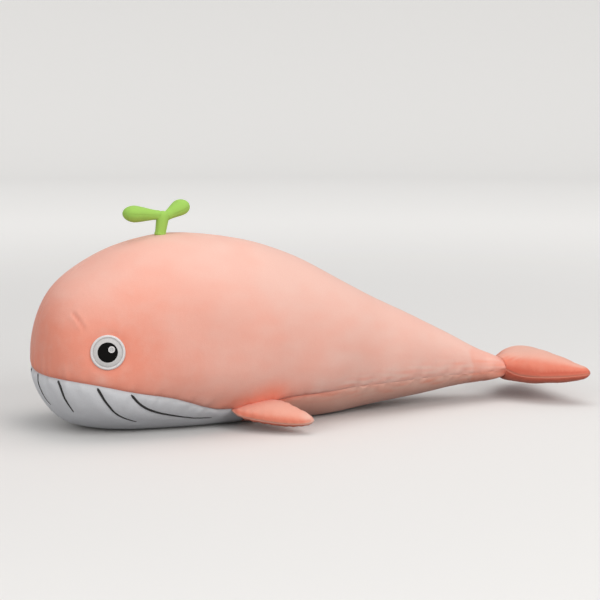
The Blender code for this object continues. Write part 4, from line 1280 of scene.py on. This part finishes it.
def blown_up(points, faces, fixed, values, peak):
    """Half thickness of a stuffed limb. Its square is the height of a soap film over the
    outline, blown up until its top is as high as the limb's."""
    count = len(points)
    matrix, load = np.zeros((count, count)), np.zeros(count)
    for k in range(3):
        a, b, c = faces[:, k], faces[:, (k + 1) % 3], faces[:, (k + 2) % 3]
        u, v = points[a] - points[c], points[b] - points[c]
        area = np.abs(u[:, 0] * v[:, 1] - u[:, 1] * v[:, 0]) + 1e-12
        pull = (u * v).sum(1) / area / 2
        for i, j in ((a, b), (b, a)):
            np.add.at(matrix, (i, j), pull)
            np.add.at(matrix, (i, i), -pull)
        np.add.at(load, c, area / 6)
    matrix[fixed] = 0
    matrix[fixed, fixed] = 1
    held, blown = np.zeros(count), -load
    held[fixed], blown[fixed] = values ** 2, 0
    held, blown = np.linalg.solve(matrix, np.stack((held, blown), 1)).T
    return np.sqrt(np.maximum(held + blown * (peak ** 2 / blown.max()), 0))


def sewn_edge(distance, half, place):
    """Pinch a limb to its sewn edge, with small puckers along it."""
    full = half.max() * (half / half.max()) ** FULLNESS
    pinched = full * np.sqrt(distance / (distance + EDGE_PINCH))
    return pinched + 0.5 * MM * ripples(np.stack((place, distance * 0.3), -1), 0.011, 90) * (
        np.exp(-distance / 0.008) * (1 - np.exp(-distance / 0.002)))


def limb_net(edge, rest, spacing):
    """The net inside a limb's outline: its sewn edge, closer rings beside it, and the rest of
    the outline, which isn't an edge."""
    outline = np.vstack((edge, rest))
    closed = np.vstack((edge[-1:], edge, edge[:1]))
    along = unit(closed[2:] - closed[:-2])[1:-1]
    inward = np.stack((-along[:, 1], along[:, 0]), -1)
    middle = outline.mean(0)
    if ((middle - edge[1:-1]) * inward).sum() < 0:
        inward = -inward
    rings = [edge[1:-1] + inward * depth for depth in EDGE_RINGS]
    return flat_net(outline, spacing, np.vstack(rings))


trial = sewn_edge(np.array((0.0, 1.0, 4.0)) * MM, np.full(3, 10 * MM), np.zeros(3))
print("10 mm of filling stands", (trial / MM).round(1), "mm high at 0, 1 and 4 mm from the edge")

# %% Sew a limb
EDGE_LIP = 1.5 * MM                  # the sewn edge stands out as a thin lip, painted pale as a highlight
TIP_SHEEN, TIP_REACH = 0.7, 0.011     # how pale the painted sheen makes the tips, and how far
LIMB_CLOTH = 0.9 * MM                # thinner than the body's, for limbs and leaves
LIMB_FILL_DEPTH, LIMB_FILL_LEAST = 4 * MM, 0.5 * MM
SHADE, SHADE_PLACE, SHADE_WIDTH = 0.35, 3, 1.2       # deep colour inside the lip, in lips' widths
UNDER_SHADE, UNDER_RANGE = 0.4, 0.4                  # deep colour where the cloth faces down
# painted sheen: paler where the cloth lies level, a little deeper elsewhere
LEVEL_SHEEN, LEVEL_DROP = 0.8, 0.1


def limb_panels(names, net, distance, half, place, material, pale, lip, deep, tips, blend, filling):
    """Upper and lower panel of a limb, and its filling. pale says from how level to how level
    the cloth lies where it turns pale with painted sheen, lip how pale the sewn edge is painted as a
    highlight, deep how much painted shade the cloth gets where it isn't level, and tips where a
    painted sheen pales it."""
    points, faces = net
    for name, sign in zip(names, (1, -1)):
        world = place(points, sign * half)
        order = faces if sign > 0 else faces[:, ::-1]
        rises = point_normals(world, order)[:, 2]
        rim = np.hypot(distance, half)
        near_edge = np.exp(-(rim / EDGE_LIP) ** 2)
        level = soft_step(rises, *pale)
        inside_lip = np.exp(-((rim - SHADE_PLACE * EDGE_LIP) / (SHADE_WIDTH * EDGE_LIP)) ** 2)
        # painted shade: deeper where the cloth isn't level, inside the lip and where it faces down
        nap_shade = deep * (1 - level) + SHADE * inside_lip
        nap_shade = nap_shade + UNDER_SHADE * soft_step(-rises, -pale[0], UNDER_RANGE - pale[0]) * (1 - near_edge)
        # painted sheen where it lies level, and a painted highlight on the sewn edge
        lean = LEVEL_SHEEN * level - LEVEL_DROP + lip * near_edge
        # painted sheen on the tips
        for tip in tips:
            lean = lean + TIP_SHEEN * np.exp(-(np.linalg.norm(points - tip, axis=-1) / TIP_REACH) ** 2)
        piece = sew(f"{name}_velvet", world, order, None, material, nap_shade, lean, LIMB_CLOTH)
        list(blend[:2])
        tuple(blend[2])
        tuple(blend[3])
        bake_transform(piece)
        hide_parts(name)
    core = np.maximum(half - LIMB_FILL_DEPTH, 0.0)
    used = core[faces].min(1) > LIMB_FILL_LEAST
    kept = np.unique(faces[used])
    fresh = np.full(len(points), -1)
    fresh[kept] = np.arange(len(kept))
    top, bottom = place(points[kept], core[kept]), place(points[kept], -core[kept])
    inner, count = fresh[faces[used]], len(kept)
    net_faces = np.vstack((inner, inner[:, ::-1] + count)).tolist()
    net_faces += [[b, a, a + count, b + count] for a, b in border_edges(inner.tolist())]
    piece = add_mesh(filling, np.vstack((top, bottom)), net_faces, FIBRE)
    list(blend[:2])
    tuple(blend[2])
    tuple(blend[3])
    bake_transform(piece)
    return piece


print("limb cloth is", LIMB_CLOTH / MM, "mm thick")

# %% [markdown]
# ## Fluke
#
# The fluke is flat and forked, and grows out of the waist. Its front is held to the waist seam's
# own line, so that no gap opens there. Near the waist its sewn edge hangs low, as the top swells
# more than the underside. A block could be pressed into this shape by hand, but its seam would
# not lie where cloth puts it, so the fluke is blown up from its flat outline like a real one.

# %% Fluke
FLUKE_REACH = 0.106
FLUKE_SPAN = 0.203
FLUKE_HALF = 0.0245
FLUKE_SHARES = (
    # shares of the reach and of the half span
    (0.09, 0.43), (0.23, 0.61), (0.40, 0.78), (0.59, 0.91), (0.77, 0.98), (0.91, 1.00),
    (0.99, 0.94), (1.00, 0.81), (0.97, 0.61), (0.94, 0.39), (0.91, 0.20),
)
FLUKE_NOTCH = 0.90
SHOULDER = 0.009                     # how soon the fluke swells behind the waist seam
EDGE_DROP = 0.011                    # how low the sewn edge hangs near the waist
FLUKE_TUCK, TUCK_SHRINK = 1.5 * MM, 0.05             # it reaches into the body, a little narrower
FLUKE_LUMPS = 0.8 * MM


def waist_ring():
    """The line of the waist seam, as the body's panels end there: y and z round it."""
    ring = velvet_at(np.full(120, float(LAST_SECTION)), np.linspace(0, 2 * math.pi, 120))[0]
    return ring[:, 1], ring[:, 2]


def build_fluke():
    """Two panels and a filling that start at the waist seam."""
    ring_y, ring_z = waist_ring()
    half_waist = np.abs(ring_y).max()
    lobe = [(a * FLUKE_REACH, b * FLUKE_SPAN / 2) for a, b in FLUKE_SHARES]
    right = [(0.0, half_waist)] + lobe
    sewn = right + [(FLUKE_NOTCH * FLUKE_REACH, 0.0)] + [(x, -y) for x, y in reversed(right)]
    edge = outline_curve(sewn, 2.4 * MM)
    across = np.linspace(-half_waist, half_waist, 26)[1:-1]
    net = limb_net(edge, np.stack((0 * across, across), -1), 3.0 * MM)
    flat, faces = net
    distance, run = along_curve(flat, edge)
    front = flat[:, 0]
    on_edge = distance < 1e-6
    on_waist = (front < 1e-6) & ~on_edge
    tops, bottoms = ring_z > WAIST_Z, ring_z <= WAIST_Z
    order_top, order_low = np.argsort(ring_y[tops]), np.argsort(ring_y[bottoms])
    top = np.interp(flat[:, 1], ring_y[tops][order_top], ring_z[tops][order_top]) - WAIST_Z
    low = np.interp(flat[:, 1], ring_y[bottoms][order_low], ring_z[bottoms][order_low]) - WAIST_Z
    fixed = np.flatnonzero(on_edge | on_waist)
    open_half = np.where(on_waist, (top - low) / 2, 0.0)[fixed]
    half = sewn_edge(distance, blown_up(flat, faces, fixed, open_half, FLUKE_HALF), run)
    away = 1 - np.exp(-front / SHOULDER)
    tuck = np.exp(-front / FLUKE_TUCK)
    gathers = ripples(np.stack((flat[:, 1], front * 0.3), -1), 0.010, 77) * np.exp(-front / 0.012) * away

    def place(points, z):
        """Points of the flat net, z above or below it, in the scene."""
        side = np.sign(z) + (z == 0)
        index = slice(None) if len(points) == len(flat) else np.array(
            [np.abs(flat - point).sum(1).argmin() for point in points])
        full = np.clip(np.abs(z) / 0.01, 0, 1)
        lumps = FLUKE_LUMPS * ripples(np.stack((points[:, 0], points[:, 1], side * 0.02), -1), 0.06, 71)
        level = (top + low)[index] / 2 * (1 - away[index])
        drop = EDGE_DROP * away[index] * (1 - 0.9 * points[:, 0] / FLUKE_REACH)
        mixed = level + z * (1 + side * drop / FLUKE_HALF) - drop
        mixed = mixed + (side * 0.9 * MM * gathers[index] + lumps * away[index]) * full
        inside = 1 - TUCK_SHRINK * tuck[index]
        return np.stack((WAIST_X + points[:, 0] - FLUKE_TUCK * tuck[index], points[:, 1] * inside,
                         WAIST_Z + mixed * inside), -1)

    # painted sheen on the lobes' tips
    tips = [(FLUKE_REACH, half_span) for half_span in (0.40 * FLUKE_SPAN, -0.40 * FLUKE_SPAN)]
    filling = limb_panels(("fluke_upper_panel", "fluke_lower_panel"), net, np.minimum(distance, front),
                          half, place, SALMON_VELVET, (0.74, 1.0), 0.4, 0.25, tips,
                          ("body", "tail_fluke", BEND_START, BEND_END), "fluke_filling")
    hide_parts("fluke_stuffing")
    print("fluke:", len(flat), "points in its net")


build_fluke()

# %% [markdown]
# ## Flippers
#
# Each flipper is a leaf shape with one straight side, its root, which is sewn to the body. The
# root reaches a few millimetres into the body's side, so that no gap opens there. A mirror
# modifier would make both flippers one piece, so the right one is built by the same function
# with its side turned.

# %% Flippers
FLIPPER_LENGTH = 0.1015
FLIPPER_WIDTH = 0.0610
FLIPPER_HALF = 0.0125
FLIPPER_SHARES = (
    (0.06, 0.20), (0.18, 0.39), (0.35, 0.60), (0.54, 0.80), (0.73, 0.94), (0.88, 1.00),
    (0.97, 0.96), (0.995, 0.85), (0.965, 0.68), (0.895, 0.49), (0.825, 0.28), (0.76, 0.10),
)
FLIPPER_BEND = np.array((-0.12166, -0.10565, 0.03156))
FLIPPER_ALONG = np.array((0.9927, -0.0303, 0.1171))
FLIPPER_OUT = np.array((0.0156, -0.9281, -0.3720))
FLIPPER_UP = np.array((-0.1199, -0.3711, 0.9208))
FLIPPER_ROOT = 0.0693
ROOT_HALF = 0.0070
ROOT_TUCK = 4.0 * MM                 # how far the root reaches into the body's side


def build_flipper(word, side):
    """Two panels and a filling. side is 1 on the left and -1 on the right."""
    shape = [(0.0, 0.0)] + [(a * FLIPPER_LENGTH, b * FLIPPER_WIDTH) for a, b in FLIPPER_SHARES]
    edge = outline_curve(shape + [(FLIPPER_ROOT, 0.0)], 2.0 * MM)
    root = np.linspace(FLIPPER_ROOT, 0, 32)[1:-1]
    net = limb_net(edge, np.stack((root, 0 * root), -1), 2.6 * MM)
    flat, faces = net
    distance, run = along_curve(flat, edge)
    on_edge = distance < 1e-6
    blend = ("body", f"{word}_flipper", tuple((FLIPPER_BEND - FLIPPER_OUT * 3 * MM) * (1, side, 1)),
             tuple((FLIPPER_BEND + FLIPPER_OUT * 12 * MM) * (1, side, 1)))
    on_root = (flat[:, 1] < 1e-6) & ~on_edge
    fixed = np.flatnonzero(on_edge | on_root)
    back = np.clip(flat[:, 0] / FLIPPER_ROOT, 0, 1)
    root_half = ROOT_HALF * np.sqrt(4 * back * (1 - back)) * (0.45 + 0.85 * back)
    open_half = np.where(on_root, root_half, 0.0)[fixed]
    half = sewn_edge(distance, blown_up(flat, faces, fixed, open_half, FLIPPER_HALF), run)

    def place(points, z):
        """Points of the flat net, z above or below it, in the scene."""
        world = FLIPPER_BEND + FLIPPER_ALONG * (points[:, :1] - FLIPPER_ROOT / 2)
        out = points[:, 1:] - ROOT_TUCK * np.exp(-points[:, 1:] / ROOT_TUCK)
        world = world + FLIPPER_OUT * out + FLIPPER_UP * z[:, None]
        return world * (1, side, 1)

    names = (f"flipper_upper_panel_{word}", f"flipper_lower_panel_{word}")
    if side > 0:
        net = (flat, faces[:, ::-1])
    # painted sheen on its tip
    tips = [(0.96 * FLIPPER_LENGTH, 0.93 * FLIPPER_WIDTH)]
    filling = limb_panels(names, net, distance, half, place, SALMON_VELVET, (0.15, 0.95),
                          1.0, 0.0, tips, blend, f"flipper_filling_{word}")
    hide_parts(f"flipper_stuffing_{word}")
    print(f"{word} flipper:", len(flat), "points in its net")


for word, side in SIDES:
    build_flipper(word, side)

# %% [markdown]
# ## Sprout
#
# Two small leaves on a short stem stand for the whale's spout. They are sewn from green fleece:
# the stem is a tube, gathered at its foot, and each leaf is a slim pillow with a seam all round.

# %% Stem
STEM_FOOT = skin(np.interp(0.258 * BODY_LENGTH, along_x, along_t), 0.0)
STEM_LEAN = math.radians(9.0)
STEM_LENGTH = 20.0 * MM
STEM_PLACE = Matrix.Translation(Vector(STEM_FOOT)) @ Matrix.Rotation(STEM_LEAN, 4, "Y")
STEM_ROWS = (
    # height and radius of each ring, in millimetres
    (-1.5, 7.2), (-0.4, 7.9), (0.8, 8.2), (2.2, 7.8), (4, 7.7), (7, 7.8), (10, 8.0), (13, 8.2), (16, 8.4),
    (19, 8.6), (22, 8.6), (24.5, 8.5), (27, 8.1), (29.3, 7.3), (31.2, 5.8), (32.6, 3.6), (33.3, 1.5),
)
STEM_POINTS = 64
GATHERS, GATHER_DEPTH, GATHER_FADE = 11, 0.05, 3e-3  # folds round the stem's foot
STEM_FILLED = slice(3, -7)           # the rings that its filling has
STEM_SHRINK, STEM_RISE = (0.72, 0.72, 0.82), 1.6e-3


def turned(points, matrix):
    """Points moved by a matrix."""
    m = np.array(matrix)
    return points @ m[:3, :3].T + m[:3, 3]


def build_stem():
    """The gathered tube with its closed top, and its filling."""
    around = STEM_POINTS
    heights, radii = np.array(STEM_ROWS).T * MM
    turns = 2 * math.pi * np.arange(around) / around
    rings = []
    for r, z in zip(radii, heights):
        gather = 1 + GATHER_DEPTH * np.cos(turns * GATHERS) * math.exp(-max(z, 0) / GATHER_FADE)
        rings.append(np.stack((r * gather * np.cos(turns), r * gather * np.sin(turns), 0 * turns + z), -1))
    points = np.vstack(rings + [[(0, 0, heights[0])], [(0, 0, heights[-1])]])
    piece = closed_piece("stem_skin_sewn", turned(points, STEM_PLACE), tube_net(len(radii), around),
                         None, GREEN_FLEECE)
    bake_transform(piece)
    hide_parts("stem_skin")
    filled = [ring * STEM_SHRINK + (0, 0, STEM_RISE) for ring in rings[STEM_FILLED]]
    small = np.vstack(filled)
    small = np.vstack((small, small[:around].mean(0), small[-around:].mean(0)))
    filling = closed_piece("stem_filling", turned(small, STEM_PLACE), tube_net(len(filled), around),
                           "sprout_stem", FIBRE)
    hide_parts("stem_stuffing")
    print("stem:", len(points), "points")


build_stem()

# %% Leaves
LEAF_ROOT = 6.2 * MM
LEAF_NECK = 6.8 * MM
LEAF_START = 4.2 * MM
LEAF_SWELL, LEAF_CAP = (0.05, 0.62), 0.66            # where it swells and rounds off, by its length
LEAF_CREASE, CREASE_TURN = 0.015, 0.13               # how far its seam pulls it in, and how wide
# painted shade beside the leaf's seam, and how far it reaches, as a turn
LEAF_SHADE, LEAF_SHADE_TURN = 0.12, 0.12
LEAF_ENDS = 0.03                     # how near the rows come to root and tip, as a turn
LEAF_FILL_DEPTH, LEAF_FILL_POINTS = 2.2 * MM, 40
LEAF_ROWS, LEAF_COLUMNS = 60, 40
LEAVES = {
    # length, half width, half thickness, rise, heading
    "front": (0.0515, 0.0160, 0.0118, math.radians(-5), 0.0),
    "rear": (0.0405, 0.0150, 0.0110, math.radians(32), math.radians(-155)),
}


def leaf_surface(leaf, u, turn, inset=0.0):
    """Points of a leaf: u runs from root to tip, turn round it from its right seam."""
    length, wide, thick = leaf[:3]
    x = -LEAF_START + u * (length + LEAF_START)
    grow = np.clip((x - LEAF_SWELL[0] * length) / (LEAF_SWELL[1] * length), 0, 1)
    grow = 0.5 * grow + 0.5 * grow * grow * (3 - 2 * grow)
    front = np.clip(1 - (np.clip(x, None, 0) / LEAF_START) ** 2, 0, 1) ** 0.5
    cap_start = LEAF_CAP * length
    back = np.clip(1 - (np.clip(x - cap_start, 0, None) / (length - cap_start)) ** 2, 0, 1) ** 0.5
    width = (LEAF_NECK + (wide - LEAF_NECK) * grow) * front * back - inset
    height = (LEAF_NECK + (thick - LEAF_NECK) * grow) * front * back - inset
    crease = 1 - LEAF_CREASE * np.exp(-(np.sin(turn) / CREASE_TURN) ** 2)
    across = -np.maximum(width, 0) * np.cos(turn) * crease
    return np.stack((x + 0 * turn, across, np.maximum(height, 0) * np.sin(turn)), -1)


def build_leaf(word, leaf):
    """Two sewn halves and a filling, set at the stem's top."""
    rise, heading = leaf[3:]
    reach = LEAF_ROOT + 0.3 * MM
    place = Vector((-math.cos(heading), -math.sin(heading), 0)) * reach
    place.z = STEM_LENGTH + reach
    turn_up = Matrix.Rotation(math.pi + heading, 4, "Z") @ Matrix.Rotation(-rise, 4, "Y")
    matrix = STEM_PLACE @ Matrix.Translation(place) @ turn_up
    u = (1 - np.cos(np.linspace(LEAF_ENDS, math.pi - LEAF_ENDS, LEAF_ROWS))) / 2
    for piece_word, first, last in (("upper", 0, math.pi), ("lower", math.pi, 2 * math.pi)):
        turn = np.linspace(first, last, LEAF_COLUMNS)
        grid_u, grid_turn = np.meshgrid(u, turn, indexing="ij")
        points = leaf_surface(leaf, grid_u, grid_turn)
        net = grid_net(LEAF_ROWS, LEAF_COLUMNS)
        edge = np.minimum(grid_turn - first, last - grid_turn)
        # painted shade beside the seam
        nap_shade = LEAF_SHADE * np.exp(-edge / LEAF_SHADE_TURN)
        name = f"leaf_{piece_word}_panel_{word}"
        piece = sew(f"{name}_fleece", turned(points.reshape(-1, 3), matrix), net, f"{word}_leaf",
                    GREEN_FLEECE, nap_shade.reshape(-1), None, LIMB_CLOTH)
        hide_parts(name)
    around = LEAF_FILL_POINTS
    turn = 2 * math.pi * np.arange(around) / around
    inner_u = u[4:-4]
    grid_u, grid_turn = np.meshgrid(inner_u, turn, indexing="ij")
    points = leaf_surface(leaf, grid_u, grid_turn, LEAF_FILL_DEPTH).reshape(-1, 3)
    points = np.vstack((points, points[:around].mean(0), points[-around:].mean(0)))
    filling = closed_piece(f"leaf_filling_{word}", turned(points, matrix), tube_net(len(inner_u), around),
                           f"{word}_leaf", FIBRE)
    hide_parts(f"leaf_stuffing_{word}")
    print(f"{word} leaf:", round(leaf[0] / MM, 1), "mm from root to tip")


for word, leaf in LEAVES.items():
    build_leaf(word, leaf)
